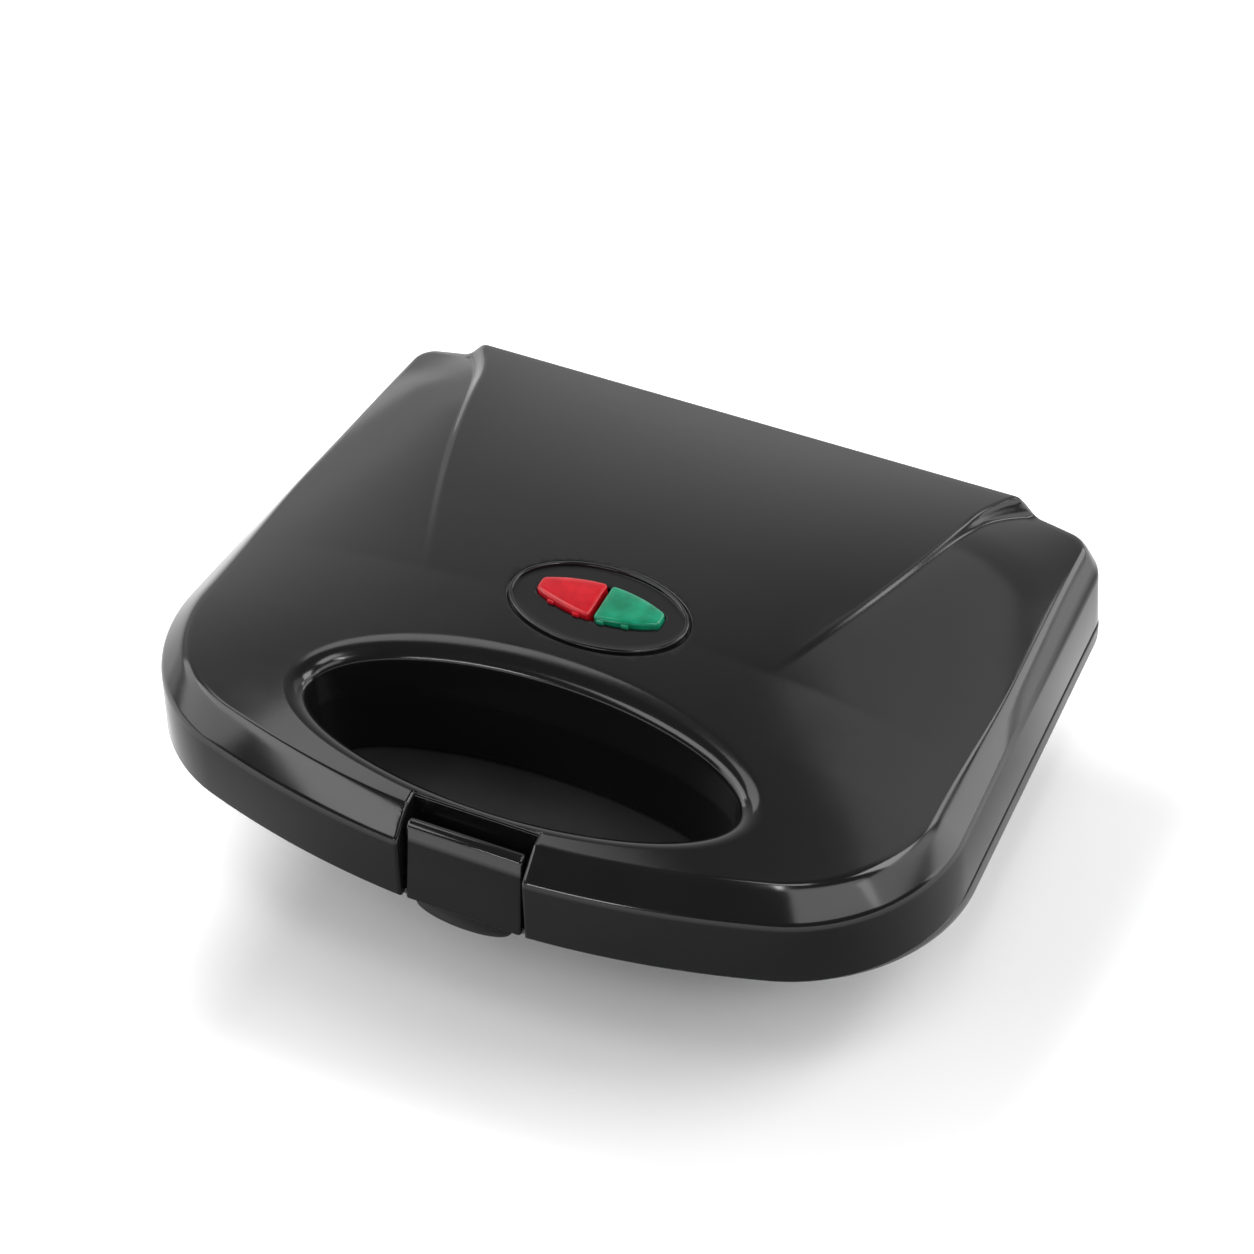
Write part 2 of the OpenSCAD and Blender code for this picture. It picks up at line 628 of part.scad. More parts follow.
// Strap over a tube along X: an arch with two feet, which stands on z = 0
module strap() {
    rotate([90, 0, 90]) translate([0, 0, -strap_w/2]) linear_extrude(strap_w) difference() {
        union() {
            translate([0, tube_r+tube_gap]) circle(r = tube_r+tube_gap+sheet_t, $fn = 48);
            translate([-tube_r-tube_gap-sheet_t, 0]) square([2*(tube_r+tube_gap+sheet_t), tube_r+tube_gap]);
            translate([-tube_r-7, 0]) square([2*tube_r+14, sheet_t]);
        }
        translate([0, tube_r+tube_gap]) circle(r = tube_r+tube_gap*0.5, $fn = 48);
        translate([-tube_r-tube_gap*0.5, -1]) square([2*tube_r+tube_gap, tube_r+tube_gap+1]);
    }
}
module strap_set() {
    for (sx = [-1, 1]) for (sy = [-1, 1])
        translate([sx*strap_x, sy*loop_d, 0.05]) strap();
}
module upper_heater_straps() {
    color("#a9acb0") translate([0, y_plate, up_back]) strap_set();
}
module lower_heater_straps() {
    color("#a9acb0") translate([0, y_plate, low_back]) mirror([0, 0, 1]) strap_set();
}

// Sheet reflector over the loop, with turned edges and a window for the sensor
module reflector() {
    rw = loop_w+sheet_over;
    rd = loop_d+sheet_over;
    linear_extrude(sheet_t) difference() {
        square([2*rw, 2*rd], center = true);
        square([2*sensor_r+14, 2*sensor_r+10], center = true);
    }
    for (sy = [-1, 1]) translate([-rw, sy*rd-(sy > 0 ? sheet_t : 0), -sheet_lip]) cube([2*rw, sheet_t, sheet_lip]);
}
module upper_reflector() {
    color("#c9ccd0") translate([0, y_plate, up_sheet_z]) reflector();
}
module lower_reflector() {
    color("#c9ccd0") translate([0, y_plate, low_sheet_z+sheet_t]) mirror([0, 0, 1]) reflector();
}

// Snap-action thermostat on the pad of the upper plate
module thermostat() {
    color("#d8d4c8") translate([0, y_plate, up_back+0.1]) {
        cylinder(r = sensor_r, h = 4, $fn = 48);
        translate([0, 0, 4]) cylinder(r = sensor_r-1.5, h = 3.5, $fn = 48);
        for (sx = [-1, 1]) translate([sx*4.5-0.4, -3.2, 7.5]) cube([0.8, 6.4, 7]);
    }
}
// Thermal fuse in its sleeve, under a strap on the pad of the lower plate
module thermal_fuse() {
    color("#e8e2d2") translate([0, y_plate, low_back-2.3]) rotate([90, 0, 0])
        translate([0, 0, -11]) cylinder(r = 2.1, h = 22, $fn = 32);
}
module fuse_strap() {
    color("#a9acb0") translate([0, y_plate, low_back]) mirror([0, 0, 1]) rotate([90, 0, 0])
        translate([0, 0, -4]) linear_extrude(8) difference() {
            union() {
                translate([0, 2.3]) circle(r = 2.9, $fn = 48);
                translate([-2.9, 0.05]) square([5.8, 2.3]);
                translate([-8, 0.05]) square([16, sheet_t]);
            }
            translate([0, 2.3]) circle(r = 2.25, $fn = 48);
            translate([-2.25, -1]) square([4.5, 3.3]);
        }
}

// ---- Indicators ----

module indicator_bezel() {
    color("#1c1c1f") on_bezel() translate([0, 0, 0.1]) difference() {
        linear_extrude(0.6) polygon(oval(bezel_a-0.25, bezel_b-0.25, 0, 64));
        translate([0, 0, -1]) linear_extrude(4) lens_shape(0.15);
    }
}
module lens(side) {
    on_bezel() intersection() {
        union() {
            translate([0, 0, -3]) linear_extrude(3+lens_up+0.1) lens_shape(0);
            translate([0, 0, -5]) linear_extrude(2.2) lens_shape(0.5);
        }
        translate([side > 0 ? lens_gap/2 : -lens_a-2-lens_gap/2, lens_y-lens_b-2, -8])
            cube([lens_a+2, 2*lens_b+4, 20]);
    }
}
module red_lens() { color("#c8141c") lens(-1); }
module green_lens() { color("#0f8a5c") lens(1); }

lamp_x = 9;
module lamp_holder() {
    color("#cfcabd") on_bezel() difference() {
        translate([-holder_l/2, -holder_b/2, -holder_top-holder_h]) cube([holder_l, holder_b, holder_h]);
        for (sx = [-1, 1]) translate([sx*lamp_x, 0, -holder_top-6.5]) cylinder(r = 3.3, h = 10, $fn = 32);
        for (sx = [-1, 1]) translate([sx*stud_x, 0, -holder_top-holder_h-1]) cylinder(r = 1.4, h = 12, $fn = 32);
    }
}
module lamp(sx) {
    on_bezel() translate([sx*lamp_x, 0, -holder_top-6.3]) {
        cylinder(r = 3, h = 4, $fn = 32);
        translate([0, 0, 4]) sphere(r = 3, $fn = 32);
    }
}
module lamp_holder_screws() {
    color("#b9bcc0") on_bezel() for (sx = [-1, 1]) translate([sx*stud_x, 0, 0]) {
        translate([0, 0, -holder_top-holder_h-1.1]) cylinder(r = 2.2, h = 1, $fn = 32);
        translate([0, 0, -holder_top-holder_h-0.2]) cylinder(r = 1.1, h = holder_h+3, $fn = 32);
    }
}
module red_lamp() { color("#e8a080") lamp(-1); }
module green_lamp() { color("#c8e0c8") lamp(1); }

// ---- Latch ----

latch_lean = 3.9;
latch_foot = 1;
latch_z0 = joint_h-0.4;
hook_z = z_base-base_rim-0.4;
module latch() {
    color("#161618") difference() {
        union() {
            rotate([90, 0, 90]) translate([0, 0, -latch_w/2]) linear_extrude(latch_w) {
                polygon([[y_front+latch_foot, latch_z0], [y_front+latch_foot+latch_lean, z_pin+6.6],
                         [y_front+6.6, z_pin+7.7], [y_front+7.9, z_pin+7.5],
                         [y_front+latch_foot+latch_lean+latch_t, z_pin+4],
                         [y_front+latch_foot+latch_t, latch_z0]]);
                translate([y_pin, z_pin]) circle(r = latch_knuckle, $fn = 48);
                translate([y_pin-4, z_pin-latch_knuckle]) square([4, 2*latch_knuckle]);
            }
            // finger tab, a half moon that hangs below the joint
            translate([0, y_front+latch_foot+0.3, latch_z0]) rotate([90, 0, 0]) mirror([0, 0, 1])
                linear_extrude(tab_t) intersection() {
                    polygon(oval(latch_w/2-3, tab_h, 0, 48));
                    translate([-latch_w, -2*tab_h]) square([2*latch_w, 2*tab_h+0.5]);
                }
            // hook nose that swings under the base's front rim
            rotate([90, 0, 90]) translate([0, 0, -5]) linear_extrude(10)
                polygon([[y_front+latch_foot+tab_t-0.2, hook_z-1.3], [y_front+latch_foot+tab_t+0.6, hook_z-1.3],
                         [y_front+base_front-fit, hook_z-0.7], [y_front+base_front-fit, hook_z],
                         [y_front+latch_foot+tab_t-0.2, hook_z]]);
        }
        bar_x(latch_pin_r+pin_fit, -latch_w, latch_w, y_pin, z_pin);
    }
}
module latch_pin() {
    color("#b9bcc0") bar_x(latch_pin_r, -notch_w/2-4.8, notch_w/2+4.8, y_pin, z_pin);
}

// ---- Base ----

function base_line(din, dfront, drear, rr) =
    whole(half(y_front+base_front+dfront, body_w/2-base_in-din, y_rear-0.3-drear, front_r-dfront,
        corner_r-din*0.55, rr, side_taper));

module base_outside() {
    loft([at_z(base_line(base_slope+2, base_sweep+2, 12, 14), base_z),
          at_z(base_line(base_slope-1, base_sweep-2, 9, 14), base_z+1.6),
          at_z(base_line(base_slope-5.5, base_sweep-8.5, 6, 13), base_z+6),
          at_z(base_line(0.3, 4.4, 0.6, 11), z_base-base_side),
          at_z(base_line(0, 0, 0, 11), z_base-base_rim),
          at_z(base_line(0, 0, 0, 11), z_base)]);
}
module base_inside() {
    loft([at_z(base_line(base_slope+0.5, base_sweep+1, 11, 12), floor_z),
          at_z(base_line(base_slope-3, base_sweep-5.5, 8.6, 12), base_z+6.5),
          at_z(base_line(wall+1.8, wall+7.1, 0.6+wall, 9.5), z_base-base_side-0.6),
          at_z(base_line(wall, wall+2, wall, 9.5), z_base-base_side+2.8),
          at_z(base_line(wall, wall, wall, 9.5), deck_z-0.05),
          at_z(base_line(wall, wall, wall, 9.5), z_base+1)]);
}
block_w = 2*(hinge_x+knuckle_w/2+lug_t+8);
block_rear = y_axis+knuckle_r+0.4;
module hinge_block() {
    rotate([90, 0, 90]) translate([0, 0, -block_w/2]) linear_extrude(block_w)
        polygon([[y_rear-8, base_z+9], [block_rear-7, base_z+9], [block_rear, base_z+18],
                 [block_rear, z_base-1.5], [block_rear-1.5, z_base], [y_rear-8, z_base]]);
}
module base_lug(x) {
    translate([x-lug_t/2, 0, 0]) rotate([90, 0, 90]) linear_extrude(lug_t) union() {
        translate([y_axis, z_axis]) circle(r = knuckle_r, $fn = 48);
        translate([y_axis-knuckle_r, z_base-4]) square([2*knuckle_r, z_axis-z_base+4]);
    }
}
lug_x = hinge_x+knuckle_w/2+fit+lug_t/2;
lug_x2 = hinge_x-knuckle_w/2-fit-lug_t/2;
bush_z = base_z+26;

module base_shell() {
    color("#161618") difference() {
        union() {
            difference() {
                union() {
                    base_outside();
                    hinge_block();
                }
                difference() {
                    base_inside();
                    for (sx = [-1, 1]) {
                        for (sy = [-1, 1])
                            post(sx*plate_screw_x, y_plate+sy*plate_screw_y, 0, z_low-rim_t-fit, boss_r);
                        post(sx*base_screw_x, base_screw_y, 0, base_boss_top, boss_r+0.6);
                        for (fy = [foot_front, foot_rear]) post(sx*foot_x, fy, 0, floor_z+1.5, 4.5);
                    }
                }
            }
            for (sx = [-1, 1]) {
                base_lug(sx*lug_x);
                base_lug(sx*lug_x2);
            }
        }
        // slot that takes the latch's hook under the front rim
        translate([-6.5, y_front+base_front-2, hook_z-3]) cube([13, 10, 3.4]);
        // slots in which the lid's knuckles turn
        for (sx = [-1, 1]) bar_x(knuckle_r+0.5, sx*hinge_x-knuckle_w/2-fit, sx*hinge_x+knuckle_w/2+fit, y_axis, z_axis);
        for (sx = [-1, 1])
            bar_x(hinge_pin_r+pin_fit, sx*hinge_x-knuckle_w/2-lug_t-2, sx*hinge_x+knuckle_w/2+lug_t+2, y_axis, z_axis);
        translate([bush_x, y_rear-20, bush_z]) rotate([-90, 0, 0]) cylinder(r = cord_r+2.3, h = body_d, $fn = 48);
        for (sx = [-1, 1]) {
            for (sy = [-1, 1])
                post(sx*plate_screw_x, y_plate+sy*plate_screw_y, z_low-rim_t-10, z_low, screw_r+pin_fit);
            post(sx*base_screw_x, base_screw_y, -1, base_boss_top+1, screw_r+0.2);
            post(sx*base_screw_x, base_screw_y, -1, head_z+0.1, head_r+0.4);
            for (fy = [foot_front, foot_rear]) {
                post(sx*foot_x, fy, base_z-1, base_z+0.8, foot_r+0.3);
                post(sx*foot_x, fy, base_z-1, floor_z+4, foot_stem+0.2);
            }
        }
    }
}

module base_deck() {
    color("#1a1a1c") difference() {
        union() {
            translate([0, 0, deck_z]) linear_extrude(frame_t) difference() {
                polygon(base_line(wall+0.2, wall+0.2, wall+0.2, 9.3));
                translate([0, y_plate]) plate_outline(fit);
            }
            for (sx = [-1, 1]) post(sx*base_screw_x, base_screw_y, base_boss_top+0.2, deck_z+1, boss_r+0.6);
        }
        for (sx = [-1, 1])
            post(sx*base_screw_x, base_screw_y, base_boss_top-1, head_z-head_h+base_screw_l+1, screw_r+pin_fit);
    }
}
module base_screws() {
    color("#b9bcc0") for (sx = [-1, 1]) {
        post(sx*base_screw_x, base_screw_y, head_z-head_h, head_z, head_r);
        post(sx*base_screw_x, base_screw_y, head_z, head_z-head_h+base_screw_l, screw_r);
    }
}
module hinge_pins() {
    reach = knuckle_w/2+fit+lug_t;
    color("#b9bcc0") for (sx = [-1, 1])
        bar_x(hinge_pin_r, sx*hinge_x-reach, sx*hinge_x+reach, y_axis, z_axis);
}
module rubber_feet() {
    color("#0c0c0d") for (sx = [-1, 1]) for (fy = [foot_front, foot_rear]) {
        translate([sx*foot_x, fy, 0]) cylinder(r1 = foot_r-0.8, r2 = foot_r, h = 1, $fn = 48);
        post(sx*foot_x, fy, 1, base_z+0.7, foot_r);
        post(sx*foot_x, fy, base_z+0.7, floor_z+3, foot_stem);
    }
}
module cord_bush() {
    color("#101011") translate([bush_x, 0, bush_z]) rotate([-90, 0, 0]) difference() {
        union() {
            translate([0, 0, block_rear+0.05]) cylinder(r = cord_r+4.6, h = body_d/2-block_rear-0.05, $fn = 48);
            translate([0, 0, y_rear-6]) cylinder(r = cord_r+2.2, h = block_rear-y_rear+7, $fn = 48);
        }
        translate([0, 0, y_rear-10]) cylinder(r = cord_r, h = body_d, $fn = 48);
    }
}
module terminal_block() {
    color("#e4e0d6") translate([block_l/2, y_rear-block_y, floor_z+0.1]) difference() {
        cube([block_l, block_b, block_t]);
        for (i = [1, 3, 5]) {
            translate([block_l*i/6, -1, block_t*0.6]) rotate([-90, 0, 0])
                cylinder(r = block_l/13, h = block_b+2, $fn = 24);
            translate([block_l*i/6, block_b*0.3, block_t*0.6]) cylinder(r = block_l/16, h = block_t, $fn = 24);
        }
    }
}

lid_shell();
lid_frame();
lid_frame_screws();
upper_plate();
upper_plate_screws();
upper_heater();
upper_heater_straps();
upper_reflector();
thermostat();
indicator_bezel();
red_lens();
green_lens();
lamp_holder();
lamp_holder_screws();
red_lamp();
green_lamp();
latch();
latch_pin();
base_shell();
base_deck();
base_screws();
lower_plate();
lower_plate_screws();
lower_heater();
lower_heater_straps();
lower_reflector();
thermal_fuse();
fuse_strap();
terminal_block();
cord_bush();
hinge_pins();
rubber_feet();
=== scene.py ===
"""Dresses the packed sandwich toaster with finer pieces, finishes, a studio and a camera.

All sizes in the classes are millimetres in the part's own frame: +X right, +Y rear, +Z up.
"""
import logging
import math
from dataclasses import dataclass
from enum import Enum

import bpy
import numpy as np
from mathutils import Matrix, Vector


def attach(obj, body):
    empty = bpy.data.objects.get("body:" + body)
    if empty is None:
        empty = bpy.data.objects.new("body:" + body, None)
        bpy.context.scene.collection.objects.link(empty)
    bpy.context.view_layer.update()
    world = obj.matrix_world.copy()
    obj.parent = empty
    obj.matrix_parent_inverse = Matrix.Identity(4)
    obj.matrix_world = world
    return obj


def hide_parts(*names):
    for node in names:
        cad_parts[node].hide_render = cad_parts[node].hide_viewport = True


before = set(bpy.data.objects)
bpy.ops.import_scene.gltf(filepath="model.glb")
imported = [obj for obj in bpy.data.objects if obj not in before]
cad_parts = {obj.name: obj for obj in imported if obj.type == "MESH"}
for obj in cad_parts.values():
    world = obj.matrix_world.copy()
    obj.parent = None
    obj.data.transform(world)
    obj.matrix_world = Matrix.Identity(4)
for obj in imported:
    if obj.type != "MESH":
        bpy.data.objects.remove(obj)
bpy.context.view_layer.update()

MM = 0.001
SHARP_ANGLE = math.radians(32)
TINY = 1e-12
BOTH = (-1, 1)
CORNERS = ((-1, -1), (-1, 1), (1, -1), (1, 1))
log = logging.getLogger("toaster")

Object = bpy.types.Object
Socket = bpy.types.NodeSocket
Array = np.ndarray


@dataclass(frozen=True)
class Layout:
    """Places and fits that several pieces share."""

    hinge_x: float = 72.0
    hinge_y: float = 91.8
    hinge_z: float = 47.0
    hinge_knuckle: float = 5.4
    hinge_bore: float = 2.05
    latch_y: float = -91.624
    latch_z: float = 61.5
    latch_bore: float = 1.25
    plate_y: float = 26.488
    plate_seat: tuple = (106.3, 53.312)
    plate_seat_corner: float = 9.3
    plate_screw_x: float = 101.0
    plate_screw_y: float = 37.012
    upper_face: float = 44.5
    lower_face: float = 43.5
    deck_z: float = 40.7
    frame_z: float = 44.6
    frame_screw: tuple = (84.0, -58.624)
    deck_screw: tuple = (34.0, -40.624)
    foot_x: float = 68.0
    foot_ys: tuple = (-28.624, 59.5)
    cord_x: float = 46.0
    cord_z: float = 29.0


AT = Layout()


# ---------------------------------------------------------------- mesh making


def place_object(name: str, data: bpy.types.ID) -> Object:
    """Makes an object at the origin and links it to the scene."""
    obj = bpy.data.objects.new(name, data)
    bpy.context.scene.collection.objects.link(obj)
    return obj


def add_mesh(name: str, points: Array, faces: list[Array]) -> Object:
    """Makes a mesh object from points in millimetres.

    Args:
        name: Name of the object and its mesh.
        points: Array (n, 3) of places in millimetres.
        faces: Arrays of point numbers, each (m, k) for m faces of k corners, or (k,) for one face.

    Returns:
        The new object, linked to the scene, at the origin, with all faces pointing outwards.
    """
    blocks = [np.atleast_2d(np.asarray(f, np.int64)) for f in faces]
    volume = 0.0
    for b in blocks:
        first = points[b[:, 0]]
        for k in range(1, b.shape[1] - 1):
            volume += np.einsum("ij,ij->i", first, np.cross(points[b[:, k]], points[b[:, k + 1]])).sum()
    if volume < 0:
        blocks = [b[:, ::-1] for b in blocks]
    mesh = bpy.data.meshes.new(name)
    mesh.vertices.add(len(points))
    mesh.vertices.foreach_set("co", (np.asarray(points) * MM).astype(np.float32).ravel())
    loops = np.concatenate([b.ravel() for b in blocks]).astype(np.int32)
    sizes = np.concatenate([np.full(len(b), b.shape[1]) for b in blocks])
    starts = np.concatenate([[0], np.cumsum(sizes)[:-1]]).astype(np.int32)
    mesh.loops.add(len(loops))
    mesh.loops.foreach_set("vertex_index", loops)
    mesh.polygons.add(len(sizes))
    mesh.polygons.foreach_set("loop_start", starts)
    mesh.update(calc_edges=True)
    mesh.validate()
    shade(mesh)
    return place_object(name, mesh)


def shade(mesh: bpy.types.Mesh) -> None:
    """Shades a mesh smooth, with sharp edges where faces meet at more than SHARP_ANGLE."""
    mesh.polygons.foreach_set("use_smooth", np.ones(len(mesh.polygons), bool))
    mesh.set_sharp_from_angle(angle=SHARP_ANGLE)
    mesh.update()


def grid_faces(rows: int, cols: int, wrap_rows: bool = False, wrap_cols: bool = False) -> Array:
    """Gives the four-cornered faces of a grid of points numbered row by row.

    Args:
        rows: Number of rows of points.
        cols: Number of points in a row.
        wrap_rows: Whether the last row joins the first.
        wrap_cols: Whether each row is a closed ring.

    Returns:
        Array (m, 4) of point numbers.
    """
    n = np.arange(rows * cols).reshape(rows, cols)
    a, b = (n, np.roll(n, -1, 0)) if wrap_rows else (n[:-1], n[1:])
    if wrap_cols:
        a2, b2 = np.roll(a, -1, 1), np.roll(b, -1, 1)
    else:
        a, a2, b, b2 = a[:, :-1], a[:, 1:], b[:, :-1], b[:, 1:]
    return np.stack([a, a2, b2, b], -1).reshape(-1, 4)


def loft(name: str, rings: Array | list[Array]) -> Object:
    """Makes a solid through closed rings (r, n, 3), with a flat face at each end."""
    rings = np.asarray(rings)
    r, n, _ = rings.shape
    ends = [np.arange(n)[::-1], np.arange(n) + (r - 1) * n]
    return add_mesh(name, rings.reshape(-1, 3), [grid_faces(r, n, wrap_cols=True)] + ends)


def ring_tube(name: str, rows: Array) -> Object:
    """Makes a closed ring-shaped solid from rows (r, n, 3) that wrap both ways."""
    r, n, _ = rows.shape
    return add_mesh(name, rows.reshape(-1, 3), [grid_faces(r, n, True, True)])


def full_turn(steps: int) -> Array:
    """Gives evenly spaced angles round a full turn, without the last one."""
    return np.linspace(0, 2 * np.pi, steps, endpoint=False)


def oval(a: float, b: float, y: float, angles: Array) -> Array:
    """Gives points (n, 2) of an oval of half sizes a and b about (0, y)."""
    return np.stack([a * np.cos(angles), y + b * np.sin(angles)], 1)


def circle(radius: float, y: float, z: float, steps: int = 48) -> Array:
    """Gives points (n, 2) of a circle about (y, z), counterclockwise."""
    t = full_turn(steps)
    return np.stack([y + radius * np.cos(t), z + radius * np.sin(t)], 1)


def level(line: Array, z: float) -> Array:
    """Puts a plan line (n, 2) at one height."""
    return np.column_stack([line, np.full(len(line), z)])


def revolve(name: str, profile: list | Array, centre: tuple, steps: int = 64,
            rearward: bool = False) -> Object:
    """Turns a profile of (radius, height) pairs about an upright or rearward axis through centre.

    A point at radius r and height h goes to centre + r (cos t u + sin t v) + h w, with w the
    axis and t the angle. The two ends of the profile are closed with flat faces.

    Args:
        name: Name of the object.
        profile: Pairs of a radius and a height along the axis.
        centre: Point on the axis from which the heights are measured.
        steps: Number of points in a ring.
        rearward: Whether the axis is +Y, with v pointing down, and not +Z.

    Returns:
        The new object.
    """
    t = full_turn(steps)
    profile = np.asarray(profile, float)
    r, h = profile[:, :1], profile[:, 1:2]
    v, w = ((0, 0, -1), (0, 1, 0)) if rearward else ((0, 1, 0), (0, 0, 1))
    rings = (np.asarray(centre, float) + (r * np.cos(t))[..., None] * np.array((1, 0, 0))
             + (r * np.sin(t))[..., None] * np.array(v) + (h * np.ones_like(t))[..., None] * np.array(w))
    return loft(name, rings)


def inset_line(line: Array, distance: float) -> Array:
    """Moves each point of a closed line inward along its normal.

    Args:
        line: Closed line (n, 2), counterclockwise.
        distance: How far it moves, outward where it is negative.

    Returns:
        Array (n, 2).
    """
    ahead = np.roll(line, -1, 0) - line
    behind = line - np.roll(line, 1, 0)
    ahead /= np.linalg.norm(ahead, axis=1, keepdims=True) + TINY
    behind /= np.linalg.norm(behind, axis=1, keepdims=True) + TINY
    t = ahead + behind
    t /= np.linalg.norm(t, axis=1, keepdims=True) + TINY
    spread = np.clip((t * ahead).sum(1, keepdims=True), 0.5, 1)
    return line + np.stack([-t[:, 1], t[:, 0]], 1) * distance / spread


def bar(name: str, line: Array, start: float, end: float, edge: float = 0.5,
        upright: bool = False) -> Object:
    """Carries a closed section along an axis, with both ends rounded.

    The section is inset by edge (1 - cos a) at a distance edge (1 - sin a) from each end.

    Args:
        name: Name of the object.
        line: Section (n, 2), counterclockwise: (y, z) across x, or (x, y) where it stands upright.
        start: Where the piece starts on the axis.
        end: Where it ends.
        edge: Radius of the rounded ends.
        upright: Whether the section is carried along z, and not along x.

    Returns:
        The new object.
    """
    turn = np.linspace(0, np.pi / 2, 5)
    insets = np.concatenate([edge * (1 - np.sin(turn)), edge * (1 - np.cos(turn))])
    places = np.concatenate([start + edge * (1 - np.cos(turn)), end - edge * (1 - np.sin(turn))])
    rings = []
    for inset, place in zip(insets, places):
        ring = level(inset_line(line, inset), place)
        rings.append(ring if upright else ring[:, [2, 0, 1]])
    return loft(name, rings)


def drill(name: str, radius: float, y: float, z: float, start: float, end: float,
          steps: int = 48) -> Object:
    """Makes a round cutter along the width, about the point (y, z)."""
    return bar(name, circle(radius, y, z, steps), start, end, 0.01)


def round_corners(line: Array, radius: float | list[float], steps: int = 5) -> Array:
    """Rounds each corner of a closed line with a curve that starts and ends radius away from it.

    Between the two ends the curve is (1-t)^2 a + 2 t (1-t) c + t^2 b, with c the corner.

    Args:
        line: Closed line (n, 2).
        radius: Reach of the rounding, one for all corners or one for each.
        steps: Number of points on each corner's curve.

    Returns:
        Array (n * steps, 2).
    """
    line = np.asarray(line, float)
    radius = np.broadcast_to(np.asarray(radius, float), (len(line),))[:, None]
    before, after = np.roll(line, 1, 0) - line, np.roll(line, -1, 0) - line
    lb = np.linalg.norm(before, axis=1, keepdims=True)
    la = np.linalg.norm(after, axis=1, keepdims=True)
    a = line + before / lb * np.minimum(radius, lb * 0.49)
    b = line + after / la * np.minimum(radius, la * 0.49)
    t = np.linspace(0, 1, steps)[None, :, None]
    curve = (1 - t) ** 2 * a[:, None] + 2 * t * (1 - t) * line[:, None] + t ** 2 * b[:, None]
    return curve.reshape(-1, line.shape[1])


def soften_rows(rows: list[Array], reach: tuple[float, ...], steps: int = 6) -> Array:
    """Rounds the edges where key rows of a skin meet.

    Each key row is a corner of the section. It is replaced by steps rows on the curve
    (1-t)^2 a + 2 t (1-t) c + t^2 b, where a and b lie reach millimetres before and after it.

    Args:
        rows: Key rows, each (n, 3).
        reach: Length of the rounding at each key row, 0 for none.
        steps: Number of rows in a rounding.

    Returns:
        Array (r, n, 3).
    """
    out = []
    for k, row in enumerate(rows):
        if reach[k] <= 0 or k in (0, len(rows) - 1):
            out.append(row)
            continue
        sides = []
        for other in (rows[k - 1], rows[k + 1]):
            d = other - row
            size = np.linalg.norm(d, axis=1, keepdims=True)
            sides.append(row + d / (size + 1e-9) * np.minimum(reach[k], size * 0.48))
        for t in np.linspace(0, 1, steps):
            out.append((1 - t) ** 2 * sides[0] + 2 * t * (1 - t) * row + t ** 2 * sides[1])
    return np.array(out)


def combine(obj: Object, others: list[Object], how: str) -> Object:
    """Adds other solids to an object or cuts them from it, and removes them.

    Args:
        obj: The solid that is kept.
        others: Solids to add or cut, one after another.
        how: UNION or DIFFERENCE.

    Returns:
        The same object with its new mesh.
    """
    for other in others:
        change = obj.modifiers.new("combine", "BOOLEAN")
        change.operation = how
        change.object = other
        change.solver = "MANIFOLD"
    old, before = obj.data, len(obj.data.polygons)
    graph = bpy.context.evaluated_depsgraph_get()
    mesh = bpy.data.meshes.new_from_object(obj.evaluated_get(graph))
    obj.modifiers.clear()
    obj.data = mesh
    mesh.name = obj.name
    bpy.data.meshes.remove(old)
    for other in others:
        bpy.data.objects.remove(other)
    shade(mesh)
    log.info("%s: %s of %d solids, %d to %d faces", obj.name, how.lower(), len(others), before,
             len(mesh.polygons))
    return obj


def repeat(name: str, obj: Object, places: list) -> Object:
    """Makes one object of several copies of a piece, and removes the piece.

    Args:
        name: Name of the new object.
        obj: The piece, modelled about the origin.
        places: Where the copies stand, each (x, y, z) in millimetres.

    Returns:
        The new object.
    """
    mesh = obj.data
    points = np.zeros(len(mesh.vertices) * 3, np.float32)
    mesh.vertices.foreach_get("co", points)
    points = points.reshape(-1, 3).astype(float) / MM
    corners, sizes, starts = (np.zeros(count, np.int32) for count in
                              (len(mesh.loops), len(mesh.polygons), len(mesh.polygons)))
    mesh.loops.foreach_get("vertex_index", corners)
    mesh.polygons.foreach_get("loop_total", sizes)
    mesh.polygons.foreach_get("loop_start", starts)
    blocks = []
    for k in range(len(places)):
        for size in np.unique(sizes):
            first = starts[sizes == size]
            blocks.append(corners[first[:, None] + np.arange(size)] + k * len(points))
    bpy.data.objects.remove(obj)
    return add_mesh(name, (points[None] + np.asarray(places, float)[:, None]).reshape(-1, 3), blocks)


def smooth_step(t: Array) -> Array:
    """Goes from 0 to 1 as t does, as t^2 (3 - 2t), level at both ends."""
    c = np.clip(t, 0, 1)
    return c * c * (3 - 2 * c)


# ---------------------------------------------------------------- finishes


